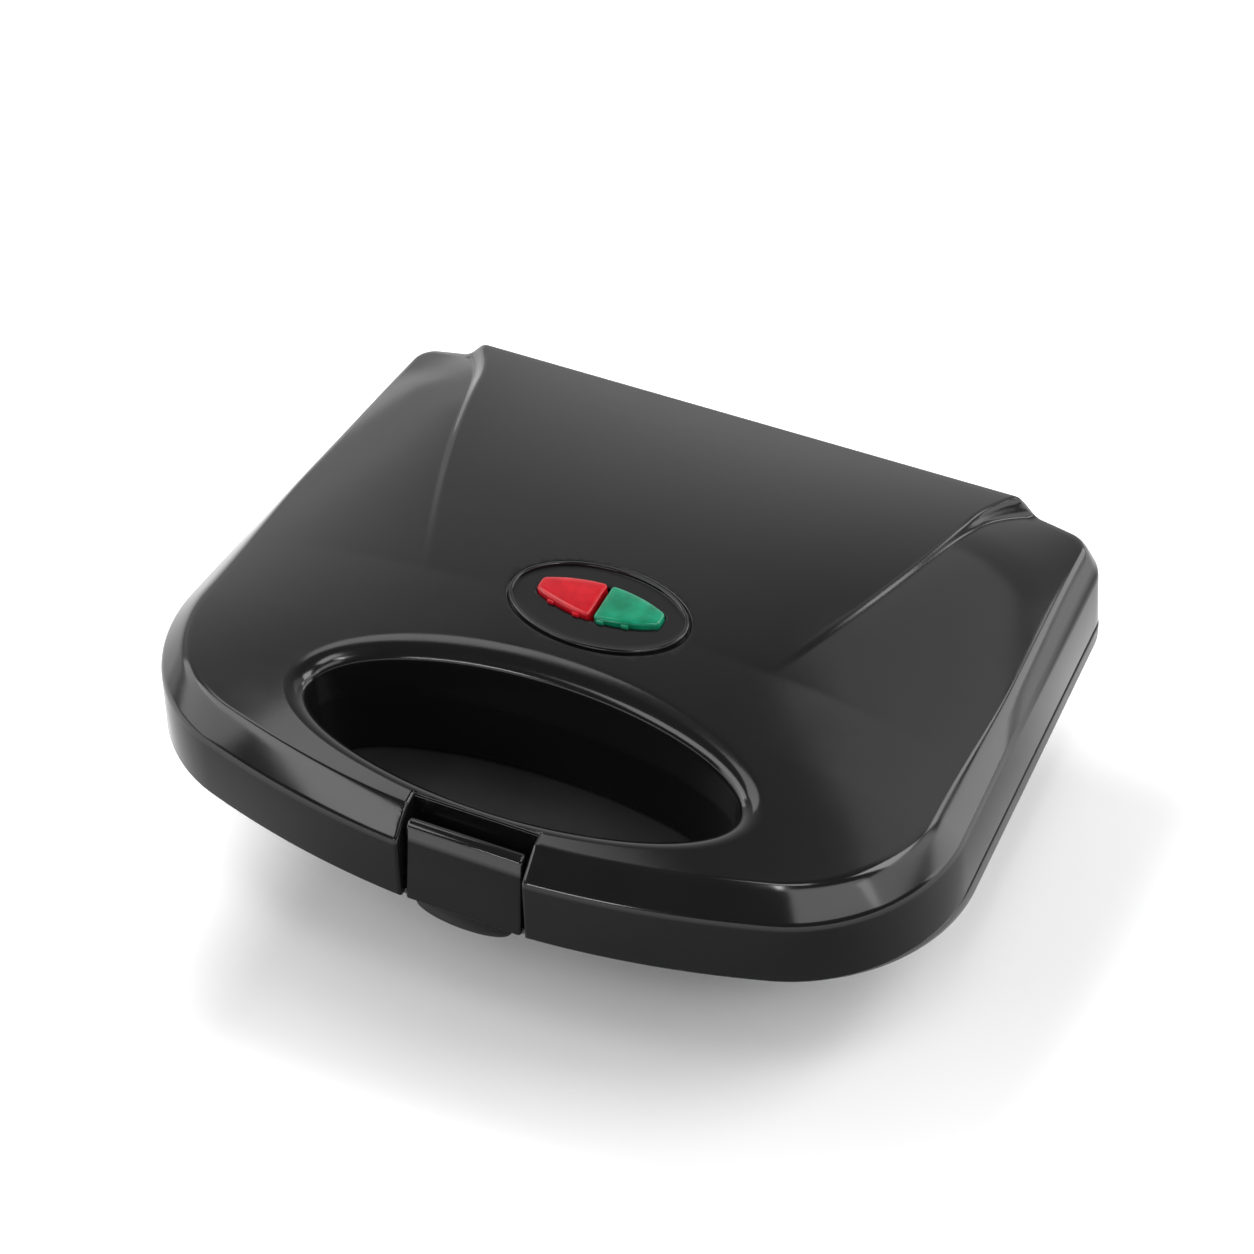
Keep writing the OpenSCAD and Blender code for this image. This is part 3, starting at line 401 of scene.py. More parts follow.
class Nodes:
    """A node tree with short calls for the nodes that the finishes and the studio share."""

    def __init__(self, tree: bpy.types.NodeTree) -> None:
        """Keeps the tree."""
        self.tree = tree

    def add(self, kind: str, inputs: dict | None = None, **settings: object) -> bpy.types.Node:
        """Adds a node.

        Args:
            kind: The node's type, without ShaderNode in front.
            inputs: Values of its sockets, by name or number.
            settings: Values of its own properties.

        Returns:
            The node.
        """
        node = self.tree.nodes.new("ShaderNode" + kind)
        for key, value in settings.items():
            setattr(node, key, value)
        for key, value in (inputs or {}).items():
            node.inputs[key].default_value = value
        return node

    def link(self, a: Socket, b: Socket) -> None:
        """Links two sockets."""
        self.tree.links.new(a, b)

    def ranged(self, value: Socket, low: float, high: float, to_low: float,
               to_high: float, ease: str = "LINEAR") -> Socket:
        """Maps a value from one range to another, clamped.

        Args:
            value: The value.
            low: Where the first range starts.
            high: Where it ends.
            to_low: Result at low.
            to_high: Result at high.
            ease: LINEAR or SMOOTHSTEP.

        Returns:
            The mapped value.
        """
        node = self.add("MapRange", {"From Min": low, "From Max": high, "To Min": to_low, "To Max": to_high},
                        interpolation_type=ease)
        self.link(value, node.inputs["Value"])
        return node.outputs[0]

    def joined(self, operation: str, a: Socket,
               b: Socket) -> Socket:
        """Combines two values by ADD, MULTIPLY or MAXIMUM."""
        node = self.add("Math", operation=operation)
        self.link(a, node.inputs[0])
        self.link(b, node.inputs[1])
        return node.outputs[0]

    def height(self, place: Socket) -> Socket:
        """Gives the third part of a place or a direction."""
        node = self.add("SeparateXYZ")
        self.link(place, node.inputs[0])
        return node.outputs[2]


class Paint(Nodes):
    """A material with one Principled shader, whose patterns follow Object coordinates."""

    def __init__(self, name: str, **values: object) -> None:
        """Starts the material.

        Args:
            name: Name of the material.
            values: Values of the shader's sockets; an underscore stands for a space in a name.
        """
        self.material = bpy.data.materials.new(name)
        self.material.use_nodes = True
        super().__init__(self.material.node_tree)
        self.tree.nodes.clear()
        self.out = self.add("OutputMaterial")
        inputs = {key.replace("_", " "): value for key, value in values.items()}
        self.shader = self.add("BsdfPrincipled", inputs)
        self.link(self.shader.outputs[0], self.out.inputs["Surface"])
        self.place = self.add("TexCoord").outputs["Object"]
        self.relief = None

    def stretched(self, scale: tuple) -> Socket:
        """Gives Object coordinates scaled along each axis."""
        node = self.add("Mapping", {"Scale": scale})
        self.link(self.place, node.inputs["Vector"])
        return node.outputs[0]

    def noise(self, waves: float, detail: float = 3.0, rough: float = 0.5,
              place: Socket | None = None) -> Socket:
        """Gives a noise of so many waves per metre."""
        node = self.add("TexNoise", {"Scale": waves, "Detail": detail, "Roughness": rough})
        self.link(place or self.place, node.inputs["Vector"])
        return node.outputs["Fac"]

    def cells(self, count: float) -> Socket:
        """Gives the distance from the middles of a pattern of so many cells per metre."""
        node = self.add("TexVoronoi", {"Scale": count})
        self.link(self.place, node.inputs["Vector"])
        return node.outputs["Distance"]

    def colour(self, pattern: Socket, low: float, high: float, first: tuple,
               second: tuple) -> None:
        """Turns the colour from one tone to another.

        Args:
            pattern: A value that varies over the surface.
            low: Where the first tone ends.
            high: Where the second tone starts.
            first: The first tone.
            second: The second tone.
        """
        node = self.add("Mix", data_type="RGBA")
        self.link(self.ranged(pattern, low, high, 0, 1), node.inputs[0])
        node.inputs[6].default_value = (*first, 1)
        node.inputs[7].default_value = (*second, 1)
        self.link(node.outputs[2], self.shader.inputs["Base Color"])

    def roughness(self, pattern: Socket, low: float, high: float, first: float,
                  second: float) -> None:
        """Turns the roughness from first to second as a pattern goes from low to high."""
        self.link(self.ranged(pattern, low, high, first, second), self.shader.inputs["Roughness"])

    def bump(self, pattern: Socket, depth: float) -> None:
        """Adds a bump of so many metres on top of the bumps before it."""
        node = self.add("Bump", {"Strength": 1.0, "Distance": depth})
        self.link(pattern, node.inputs["Height"])
        if self.relief:
            self.link(self.relief, node.inputs["Normal"])
        self.relief = node.outputs[0]
        self.link(self.relief, self.shader.inputs["Normal"])


@dataclass(frozen=True)
class Moulding:
    """Moulded plastic: two close tones, a roughness that wanders, and a fine bump.

    The waves and grain count per metre and their depths are in metres. Below a band of heights, in metres,
    the sides' gloss drops to a lower level. This is painted shade: it darkens the sides' reflection of the
    floor as if the floor there lay in deep shadow.
    """

    name: str
    dark: tuple
    light: tuple
    rough: tuple
    grain: float = 900.0
    grain_depth: float = 0.00001
    wave: float = 60.0
    wave_depth: float = 0.00002
    full_level: float = 0.5
    shaded_gloss_level: float = 0.5
    shaded_gloss_band: tuple = (0.0628, 0.0648)

    def build(self) -> bpy.types.Material:
        """Builds the material."""
        p = Paint(self.name, IOR=1.5)
        # Painted shade: the gloss drops on the sides below the band, to darken their reflection of the floor.
        if self.shaded_gloss_level < self.full_level:
            p.link(p.ranged(p.height(p.place), *self.shaded_gloss_band, self.shaded_gloss_level, self.full_level),
                   p.shader.inputs["Specular IOR Level"])
        p.colour(p.noise(28.0, 4.0, 0.55), 0.3, 0.7, self.dark, self.light)
        p.roughness(p.noise(45.0, 6.0, 0.6), 0.3, 0.72, *self.rough)
        p.bump(p.noise(self.wave, 2.0), self.wave_depth)
        p.bump(p.noise(self.grain, 4.0, 0.6), self.grain_depth)
        return p.material


@dataclass(frozen=True)
class CoatedCasting:
    """Cast plate under a dark non-stick coating: sprayed speckle, satin sheen and slight pitting."""

    name: str = "coated_casting"
    coat: tuple = (0.018, 0.018, 0.019)
    speckle: tuple = (0.075, 0.075, 0.078)
    rough: tuple = (0.3, 0.46)

    def build(self) -> bpy.types.Material:
        """Builds the material."""
        p = Paint(self.name, IOR=1.45, Metallic=0.0)
        p.colour(p.noise(2600.0, 2.0, 0.7), 0.58, 0.7, self.coat, self.speckle)
        p.roughness(p.noise(160.0, 5.0), 0.3, 0.7, *self.rough)
        p.bump(p.noise(140.0, 2.0), 0.00006)
        p.bump(p.noise(2100.0, 3.0, 0.6), 0.00003)
        return p.material


@dataclass(frozen=True)
class Metal:
    """Bare metal, drawn or plated: streaks along one axis, and fine grain."""

    name: str
    tone: tuple
    worn: tuple
    rough: tuple
    stretch: tuple = (1.0, 12.0, 12.0)

    def build(self) -> bpy.types.Material:
        """Builds the material."""
        p = Paint(self.name, Metallic=1.0)
        streak = p.noise(160.0, 5.0, 0.6, p.stretched(self.stretch))
        p.colour(streak, 0.35, 0.7, self.tone, self.worn)
        p.roughness(streak, 0.3, 0.7, *self.rough)
        p.bump(p.noise(1500.0), 0.000015)
        return p.material


@dataclass(frozen=True)
class ClearPlastic:
    """Coloured lens plastic: a saturated body that lets a little light through, and a polished face."""

    name: str
    deep: tuple
    bright: tuple
    clear: float = 0.15
    rough: tuple = (0.08, 0.16)

    def build(self) -> bpy.types.Material:
        """Builds the material."""
        p = Paint(self.name, IOR=1.49, Transmission_Weight=self.clear)
        p.colour(p.noise(220.0, 2.0), 0.35, 0.65, self.deep, self.bright)
        p.roughness(p.noise(300.0), 0.3, 0.7, *self.rough)
        p.bump(p.noise(500.0, 2.0), 0.00001)
        return p.material


@dataclass(frozen=True)
class Rubber:
    """Black rubber: dull, dusty and slightly pitted."""

    name: str = "rubber"
    tone: tuple = (0.012, 0.012, 0.013)
    dusty: tuple = (0.035, 0.035, 0.034)
    rough: tuple = (0.62, 0.8)

    def build(self) -> bpy.types.Material:
        """Builds the material."""
        p = Paint(self.name, IOR=1.5, Sheen_Weight=0.15, Sheen_Roughness=0.5)
        dust = p.noise(90.0, 5.0, 0.6)
        p.colour(dust, 0.45, 0.75, self.tone, self.dusty)
        p.roughness(dust, 0.3, 0.7, *self.rough)
        p.bump(p.cells(1400.0), 0.00003)
        return p.material


@dataclass(frozen=True)
class Ceramic:
    """Unglazed white ceramic or mineral-filled resin."""

    name: str = "ceramic"
    clean: tuple = (0.72, 0.7, 0.64)
    stained: tuple = (0.6, 0.57, 0.5)
    rough: tuple = (0.45, 0.6)

    def build(self) -> bpy.types.Material:
        """Builds the material."""
        p = Paint(self.name, IOR=1.5)
        stain = p.noise(120.0, 5.0, 0.6)
        p.colour(stain, 0.4, 0.75, self.clean, self.stained)
        p.roughness(stain, 0.3, 0.7, *self.rough)
        p.bump(p.noise(1800.0), 0.00002)
        return p.material


class Slot(Enum):
    """The finishes' slots, by the names that the part's record gives them."""

    LID_GLOSS = "black_gloss"
    HOUSING = "black_matte"
    COATING = "coated_aluminium"
    ALUMINIUM = "bare_aluminium"
    HEATER = "heater_steel"
    ZINC = "zinc_steel"
    CERAMIC = "ceramic_white"
    NATURAL = "natural_plastic"
    LAMP = "lamp_glass"
    RED = "red_lens"
    GREEN = "green_lens"
    RUBBER = "black_rubber"


FINISHES = {
    # The lid's gloss drops to 0.08 on its lower sides, below the band: painted shade.
    Slot.LID_GLOSS: Moulding("lid_gloss", (0.0055, 0.0055, 0.006), (0.007, 0.007, 0.0075), (0.1, 0.17),
                             700.0, 0.000004, 45.0, 0.00003, shaded_gloss_level=0.08),
    Slot.HOUSING: Moulding("satin_housing", (0.012, 0.012, 0.013), (0.017, 0.017, 0.018), (0.36, 0.5),
                           1500.0, 0.00002),
    Slot.COATING: CoatedCasting(),
    Slot.ALUMINIUM: Metal("bare_aluminium", (0.72, 0.73, 0.74), (0.6, 0.61, 0.62), (0.28, 0.42)),
    Slot.HEATER: Metal("heater_steel", (0.26, 0.25, 0.24), (0.17, 0.15, 0.14), (0.4, 0.6)),
    Slot.ZINC: Metal("zinc_steel", (0.56, 0.57, 0.58), (0.46, 0.46, 0.45), (0.22, 0.38)),
    Slot.CERAMIC: Ceramic(),
    Slot.NATURAL: Moulding("natural_plastic", (0.5, 0.47, 0.4), (0.58, 0.55, 0.48), (0.4, 0.5)),
    Slot.LAMP: ClearPlastic("lamp_glass", (0.5, 0.42, 0.36), (0.62, 0.55, 0.48)),
    Slot.RED: ClearPlastic("red_lens", (0.5, 0.004, 0.012), (0.62, 0.008, 0.018)),
    Slot.GREEN: ClearPlastic("green_lens", (0.004, 0.2, 0.1), (0.01, 0.3, 0.16)),
    Slot.RUBBER: Rubber(),
}

KEPT_NODES = {
    Slot.LID_GLOSS: ("lid_shell", "latch"),
    Slot.HOUSING: ("lid_frame", "base_shell", "base_deck", "indicator_bezel", "cord_bush"),
    Slot.COATING: ("upper_plate", "lower_plate"),
    Slot.ALUMINIUM: ("upper_reflector", "lower_reflector"),
    Slot.HEATER: ("upper_heater", "lower_heater"),
    Slot.ZINC: ("lid_frame_screws", "upper_plate_screws", "lower_plate_screws", "base_screws",
                "lamp_holder_screws", "latch_pin", "hinge_pins", "upper_heater_straps",
                "lower_heater_straps", "fuse_strap"),
    Slot.CERAMIC: ("thermostat", "terminal_block", "thermal_fuse"),
    Slot.NATURAL: ("lamp_holder",),
    Slot.LAMP: ("red_lamp", "green_lamp"),
    Slot.RED: ("red_lens",),
    Slot.GREEN: ("green_lens",),
    Slot.RUBBER: ("rubber_feet",),
}


class Body(Enum):
    """The bodies that the pieces ride on."""

    BASE = "base"
    LID = "lid"
    LATCH = "latch"


class Workshop:
    """Finishes each piece: material, body, slot and the CAD node that it stands for."""

    def __init__(self) -> None:
        """Builds every finish once, to be shared by the pieces."""
        self.materials = {slot: finish.build() for slot, finish in FINISHES.items()}

    def dress(self, obj: Object, slot: Slot) -> None:
        """Gives an object the finish of a slot on all its faces."""
        obj.data.materials.clear()
        obj.data.materials.append(self.materials[slot])

    def dress_nodes(self) -> None:
        """Gives every CAD node its finish, for those that stay in sight."""
        for slot, nodes in KEPT_NODES.items():
            for node in nodes:
                self.dress(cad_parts[node], slot)
                shade(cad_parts[node].data)

    def fit(self, obj: Object, body: Body, slot: Slot, node: str) -> None:
        """Dresses a piece, puts it on its body and hides the node that it replaces.

        Args:
            obj: The piece.
            body: The body that it rides on.
            slot: The finish that it takes.
            node: CAD node that it stands for.
        """
        self.dress(obj, slot)
        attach(obj, body.value)
        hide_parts(node)
        log.info("%s on %s, %s, %d faces, for %s", obj.name, body.value, slot.value,
                 len(obj.data.polygons), node)


# ---------------------------------------------------------------- lid

FRONT_POINTS = 44
REAR_SPACING = ((0, 0.13, 0.6, 0.8, 1), (1, 0.93, 0.78, 0.6, 0))


def lid_outline(front: float, half_width: float, rear: float, front_radius: float, corner_radius: float,
                rear_radius: float, taper: float,
                counts: tuple = (FRONT_POINTS, 44, 56, 16, 72)) -> Array:
    """Gives the closed plan of the lid or base, counterclockwise from the front centre.

    One half is a wide front arc, a corner arc, a straight side that leans in by taper degrees,
    a small rear arc and a straight rear edge, whose points stand as REAR_SPACING says. The other
    half is its mirror image.

    Args:
        front: Y of the front centre.
        half_width: Half of the greatest width.
        rear: Y of the rear edge.
        front_radius: Radius of the front arc.
        corner_radius: Radius of the front corners.
        rear_radius: Radius of the rear corners.
        taper: Lean of the sides in degrees.
        counts: Number of points on each of the five stretches.

    Returns:
        Array (n, 2).
    """
    tap = math.radians(taper)
    cx, fy = half_width - corner_radius, front + front_radius
    cy = fy - math.sqrt((front_radius - corner_radius) ** 2 - cx * cx)
    a1 = math.atan2(cx, fy - cy)
    ry = rear - rear_radius
    rx = cx + (corner_radius - rear_radius - (ry - cy) * math.sin(tap)) / math.cos(tap)
    start = np.array([cx + corner_radius * math.cos(tap), cy + corner_radius * math.sin(tap)])
    end = np.array([rx + rear_radius * math.cos(tap), ry + rear_radius * math.sin(tap)])
    n1, n2, n3, n4, n5 = counts
    a = np.linspace(0, a1, n1, endpoint=False)
    arc = np.stack([front_radius * np.sin(a), fy - front_radius * np.cos(a)], 1)
    a = np.linspace(a1 - np.pi / 2, tap, n2, endpoint=False)
    corner = np.stack([cx + corner_radius * np.cos(a), cy + corner_radius * np.sin(a)], 1)
    side = start + (end - start) * np.linspace(0, 1, n3, endpoint=False)[:, None]
    a = np.linspace(tap, np.pi / 2, n4, endpoint=False)
    back = np.stack([rx + rear_radius * np.cos(a), ry + rear_radius * np.sin(a)], 1)
    line = np.stack([rx * np.interp(np.linspace(0, 1, n5), *REAR_SPACING), np.full(n5, rear)], 1)
    half = np.concatenate([arc, corner, side, back, line])
    return np.concatenate([half, half[-2:0:-1] * np.array([-1, 1])])


@dataclass(frozen=True)
class LidForm:
    """The outer form of the lid, which the lid's other pieces sit in.

    Names that end in _at, _from or _share are shares of the way from the front to the rear.
    """

    half_width: float = 120.0
    front: float = -100.624
    rear: float = 85.5
    joint: float = 44.0
    front_radius: float = 280.0
    corner_radius: float = 50.0
    rear_radius: float = 12.0
    taper: float = 3.5
    skirt_top: float = 64.4
    skirt_draft: float = 0.6
    skirt_fall: float = 2.4
    skirt_level: tuple = (70.0, 16.0)
    band_top: float = 71.6
    band_in: float = 8.2
    band_less: float = 2.8
    band_level: tuple = (60.0, 60.0)
    rear_in: float = 4.0
    edge_fall: float = 3.0
    edge_fall_from: float = 0.15
    crown: float = 13.9
    crown_at: float = 0.64
    dome_power: float = 2.2
    dome_widest_at: float = 0.3
    dome_front_in: float = 11.5
    dome_rear_in: float = 7.0
    panel: float = 6.9
    panel_from: float = 0.44
    panel_blend: float = 0.8
    panel_half: float = 79.5
    panel_narrow: float = 27.5
    panel_flare: float = 6.0
    flare_share: float = 0.1
    step: float = 1.4
    step_wide: float = 2.6
    rear_step: float = 5.2
    rear_step_wide: float = 7.5
    rear_step_share: float = 0.2
    side_power: float = 1.5
    side_power_less: float = 0.3
    top_corner_radius: float = 5.0
    wall: float = 2.5
    grip_length: float = 64.5
    grip_width: float = 21.7
    grip_y: float = -62.624
    grip_lip: float = 4.6
    lip_wide: float = 7.6
    grip_draft: float = 2.5
    bezel_length: float = 27.0
    bezel_width: float = 15.3
    bezel_y: float = -13.624
    bezel_sink: float = 0.9
    lens_y: float = 1.4
    lens_length: float = 18.8
    lens_width: float = 6.4
    lens_tip: float = 23.0

    def plan(self, inset: float, rear_inset: float, rear_radius: float | None = None) -> Array:
        """Gives the lid's plan.

        Args:
            inset: How far it is moved inward.
            rear_inset: How far it is moved inward at the rear.
            rear_radius: Radius of its rear corners before the inset, where it isn't the lid's own.

        Returns:
            Array (n, 2).
        """
        radius = self.rear_radius if rear_radius is None else rear_radius
        return lid_outline(self.front + inset, self.half_width - inset, self.rear - rear_inset,
                           self.front_radius - inset, self.corner_radius - inset,
                           radius - min(inset, rear_inset), self.taper)

    def widen(self, y: Array) -> Array:
        """Gives the factor by which the top's outer edge widens where the band narrows."""
        start, run = self.band_level
        share = smooth_step((y - self.front - start) / run)
        return 1 + self.band_less / (self.half_width - self.band_in) * share

    def band(self, more: float = 0.0, rear_more: float = 0.0) -> Array:
        """Gives the plan (n, 2) of the top's outer edge, moved inward by more and rear_more."""
        line = self.plan(self.band_in + more, self.rear_in + rear_more, self.top_corner_radius + self.rear_in)
        return line * np.column_stack([self.widen(line[:, 1]), np.ones(len(line))])

    def on_skirt(self, line: Array, lift: float = 0.0) -> Array:
        """Puts a plan line on the skirt's upper edge, which drops between two level ends."""
        ahead, behind = self.skirt_level
        depth = self.rear - self.front - ahead - behind
        fall = self.skirt_fall * smooth_step((line[:, 1] - self.front - ahead) / depth)
        return np.column_stack([line, self.skirt_top + lift - fall])

    def top(self, x: Array, y: Array) -> Array:
        """Gives the height of the lid's top at x, y.

        Along the depth, with share s, the crown rises as 1 - ((c - s) / c)^2 to its highest line at
        c and falls toward the rear by the square of the distance. In front the top is a dome that
        falls across the width as 1 - |x|^2.2. Toward the rear it turns into a raised panel. Beside
        the panel the surface drops by a small smooth step, which grows at the rear edge, and then
        falls as t^1.5 to the top's outer edge.

        Args:
            x: Places across the width, in an array of any shape.
            y: Places along the depth, in the same shape.

        Returns:
            Heights in the same shape.
        """
        x, y = np.abs(np.asarray(x, float)), np.asarray(y, float)
        y0, y1 = self.front + self.band_in, self.rear - self.rear_in
        s = np.clip((y - y0) / (y1 - y0), 0, 1)
        c, widest = self.crown_at, self.dome_widest_at
        rise = np.where(s < c, self.crown * (1 - ((c - s) / c) ** 2),
                        self.crown - (self.crown - self.panel) * ((s - c) / (1 - c)) ** 2)
        high = self.band_top + rise
        low_from = self.edge_fall_from
        low = self.band_top - self.edge_fall * smooth_step((s - low_from) / (1 - low_from))
        share = np.clip((s - self.panel_from) / (1 - self.panel_from), 0, 1) ** self.panel_blend
        ahead, behind = np.maximum(0, widest - s) / widest, np.maximum(0, s - widest)
        reach = (self.half_width - self.band_in - self.dome_front_in * ahead ** 2
                 - self.dome_rear_in * behind) * self.widen(y)
        dome = low + (high - low) * (1 - np.minimum(1, x / reach) ** self.dome_power)
        edge = self.edge_of_panel(1 - s)
        out = x - edge
        near = np.maximum(0, 1 - (1 - s) / self.rear_step_share) ** 2
        step = self.step + (self.rear_step - self.step) * near
        wide = self.step_wide + (self.rear_step_wide - self.step_wide) * near
        ledge = high - step * smooth_step(out / wide)
        power = self.side_power - self.side_power_less * near
        away = np.clip(out / np.maximum(1, reach - edge), 0, 1) ** power
        return dome * (1 - share) + share * (ledge - (ledge - low) * away)

    def edge_of_panel(self, u: Array) -> Array:
        """Gives the panel's half width at the share u of the way from the rear edge forward.

        It narrows forward as u^1.5 and flares out by the square of the distance at the rear edge.
        """
        return (self.panel_half - self.panel_narrow * (u / (1 - self.panel_from)) ** 1.5
                + self.panel_flare * np.maximum(0, 1 - u / self.flare_share) ** 2)

    def on_top(self, line: Array, lift: float = 0.0) -> Array:
        """Puts a plan line (n, 2) on the lid's top, lifted by lift."""
        return np.column_stack([line, self.top(line[:, 0], line[:, 1]) + lift])

    def bezel_frame(self) -> tuple[Array, Array, Array]:
        """Gives the origin of the indicator recess, its rearward direction and its normal."""
        half = 6
        rise = float(self.top(0, self.bezel_y + half) - self.top(0, self.bezel_y - half)) / (2 * half)
        along = np.array([0, 1, rise]) / math.hypot(1, rise)
        normal = np.array([0, -along[2], along[1]])
        origin = np.array([0, self.bezel_y, float(self.top(0, self.bezel_y)) - self.bezel_sink])
        return origin, along, normal

    def on_bezel(self, points: Array) -> Array:
        """Moves points (n, 3) from the recess's own frame into the part's frame."""
        origin, along, normal = self.bezel_frame()
        return origin + points[:, :1] * np.array([1, 0, 0]) + points[:, 1:2] * along + points[:, 2:3] * normal

    def lens_radius(self) -> float:
        """Gives the radius (tip^2 + b^2) / 2b of the lenses' long edges."""
        return (self.lens_tip ** 2 + self.lens_width ** 2) / (2 * self.lens_width)

    def lens_line(self, more: float, points: int = 96) -> Array:
        """Gives the outline of the pair of lenses: two arcs cut blunt before they meet at lens_tip.

        Args:
            more: Distance that it is moved outward.
            points: Number of points.

        Returns:
            Array (points, 2).
        """
        r = self.lens_radius()
        end = math.asin((self.lens_length + more) / (r + more))
        t = np.linspace(-end, end, points // 2)
        low = np.stack([(r + more) * np.sin(t), (r - self.lens_width) - (r + more) * np.cos(t)], 1)
        return np.concatenate([low, -low])


@dataclass
class LidCover:
    """The moulded lid: skin with its finger opening, notch for the latch, recess and hinge knuckles."""

    form: LidForm
    band_round: float = 3.2
    skirt_round: float = 1.6
    foot_round: float = 0.7
    top_rows: int = 96
    column_from: tuple = (-90, -50, 0, 60, 78.7, 90)
    column_to: tuple = (-90, -54, -10, 26, 43, 90)
    lip_rows: int = 13
    lip_widens: tuple = (-0.5, 0.8)
    foot_edge: tuple = (0.5, 0.6)
    grip_wall: float = 2.2
    rib_high: float = 8.0
    notch_half: float = 18.7
    notch_depth: float = 12.8
    notch_round: float = 1.1
    notch_steps: int = 14
    notch_over: float = 12.0
    notch_under: float = 1.5
    section_rows: tuple = (16, -4)
    section_gap: float = 0.3
    clear: float = 2.0
    overlap: float = 0.8
    recess_round: float = 0.85
    recess_points: int = 144
    window_gap: float = 0.8
    knuckle_wide: float = 12.0
    latch_bore_past: float = 5.0
    hinge_bore_half: float = 9.0
    bore_points: int = 40

    def __post_init__(self) -> None:
        """Works out the skin, which the rounding of the notch follows."""
        self.skin, self.outer_rows = self.skin_rows()

    def skin_rows(self) -> tuple[Array, int]:
        """Works out the lid's closed skin as rows of points.

        Each column is one section of the lid, from the foot of the finger opening over its rounded
        lip, across the top, round the sloping band and down the skirt, then back up the inside. The
        top between the opening and the band is (1 - t) lip + t band in plan, lifted to the top. The
        columns leave the lip so that those at the panel's rear corners run along its edge.

        Returns:
            Array (r, n, 3) that wraps both ways, and how many of its rows are outside.
        """
        f = self.form
        band = f.band()
        around = np.arctan2(band[:, 1] - f.grip_y, np.abs(band[:, 0]))
        a, b, lip = f.grip_length, f.grip_width, f.grip_lip
        even = np.degrees(np.arctan2(np.sin(around) / b, np.cos(around) / a))
        turn = np.radians(np.interp(even, self.column_from, self.column_to))
        turn = np.where(band[:, 0] < 0, np.pi - turn, turn)
        low, span = self.lip_widens
        soft = smooth_step((np.sin(around) - low) / span)[:, None]

        def grip(more: float) -> Array:
            """Gives the finger opening's outline, larger by more, in step with the columns."""
            return oval(a + more, b + more, f.grip_y, turn)

        def roll(t: float) -> Array:
            """Gives the lip's outline at the angle t of its roll, which is wider beside and behind."""
            narrow, wide = (grip(reach * (1 - math.cos(t))) for reach in (lip, f.lip_wide))
            return narrow + (wide - narrow) * soft

        inward, upward = self.foot_edge
        foot = level(grip(-f.grip_draft), f.joint)
        rows = [level(grip(-f.grip_draft + inward), f.joint), foot + np.array([0, 0, upward])]
        neck = f.on_top(grip(0), -lip)
        rows += list(foot + (neck - foot) * np.linspace(0, 1, 8)[1:-1, None, None])
        for t in np.linspace(0, np.pi / 2, self.lip_rows):
            rows.append(f.on_top(roll(t), -lip * (1 - math.sin(t))))
        lip_line = roll(np.pi / 2)
        into = lip_line - band
        start = band + into / np.linalg.norm(into, axis=1, keepdims=True) * self.band_round
        rows += [f.on_top(lip_line + (start - lip_line) * t) for t in np.linspace(0, 1, self.top_rows)[1:-1]]
        side = f.plan(f.wall, f.wall)
        down = soften_rows([f.on_top(start), f.on_top(band), f.on_skirt(f.plan(f.skirt_draft, 0.3)),
                            level(f.plan(0, 0), f.joint), level(side, f.joint)],
                           (0, self.band_round, self.skirt_round, self.foot_round, 0))
        rows += list(down[:-1])
        outer_rows = len(rows)
        ends = (f.joint + 0.01, f.joint + self.rib_high)
        top_edge, inner = f.band(f.wall * 0.6, f.wall * 0.6), grip(self.grip_wall)
        rows += [level(side, z) for z in ends]
        rows += [f.on_skirt(f.plan(f.wall + f.skirt_draft, f.wall + f.skirt_draft), -1.1)]
        rows += [f.on_top(top_edge + (inner - top_edge) * t, -f.wall) for t in np.linspace(0, 1, 12)]
        rows += [level(inner, z) for z in ends[::-1]]
        return np.array(rows), outer_rows

    def section(self, x: float) -> Array:
        """Gives the outer skin's section in front of the finger opening, cut at x.

        Each row of the skin is cut where it passes x, by interpolation between its points.

        Args:
            x: Place of the cut.

        Returns:
            Array (r, 3) from the opening's lip to the foot of the skirt.
        """
        first, last = self.section_rows
        out = []
        for row in self.skin[first:self.outer_rows + last]:
            near = np.concatenate([row[-FRONT_POINTS:], row[:FRONT_POINTS]])
            out.append([x, np.interp(x, near[:, 0], near[:, 1]), np.interp(x, near[:, 0], near[:, 2])])
        return np.array(out)

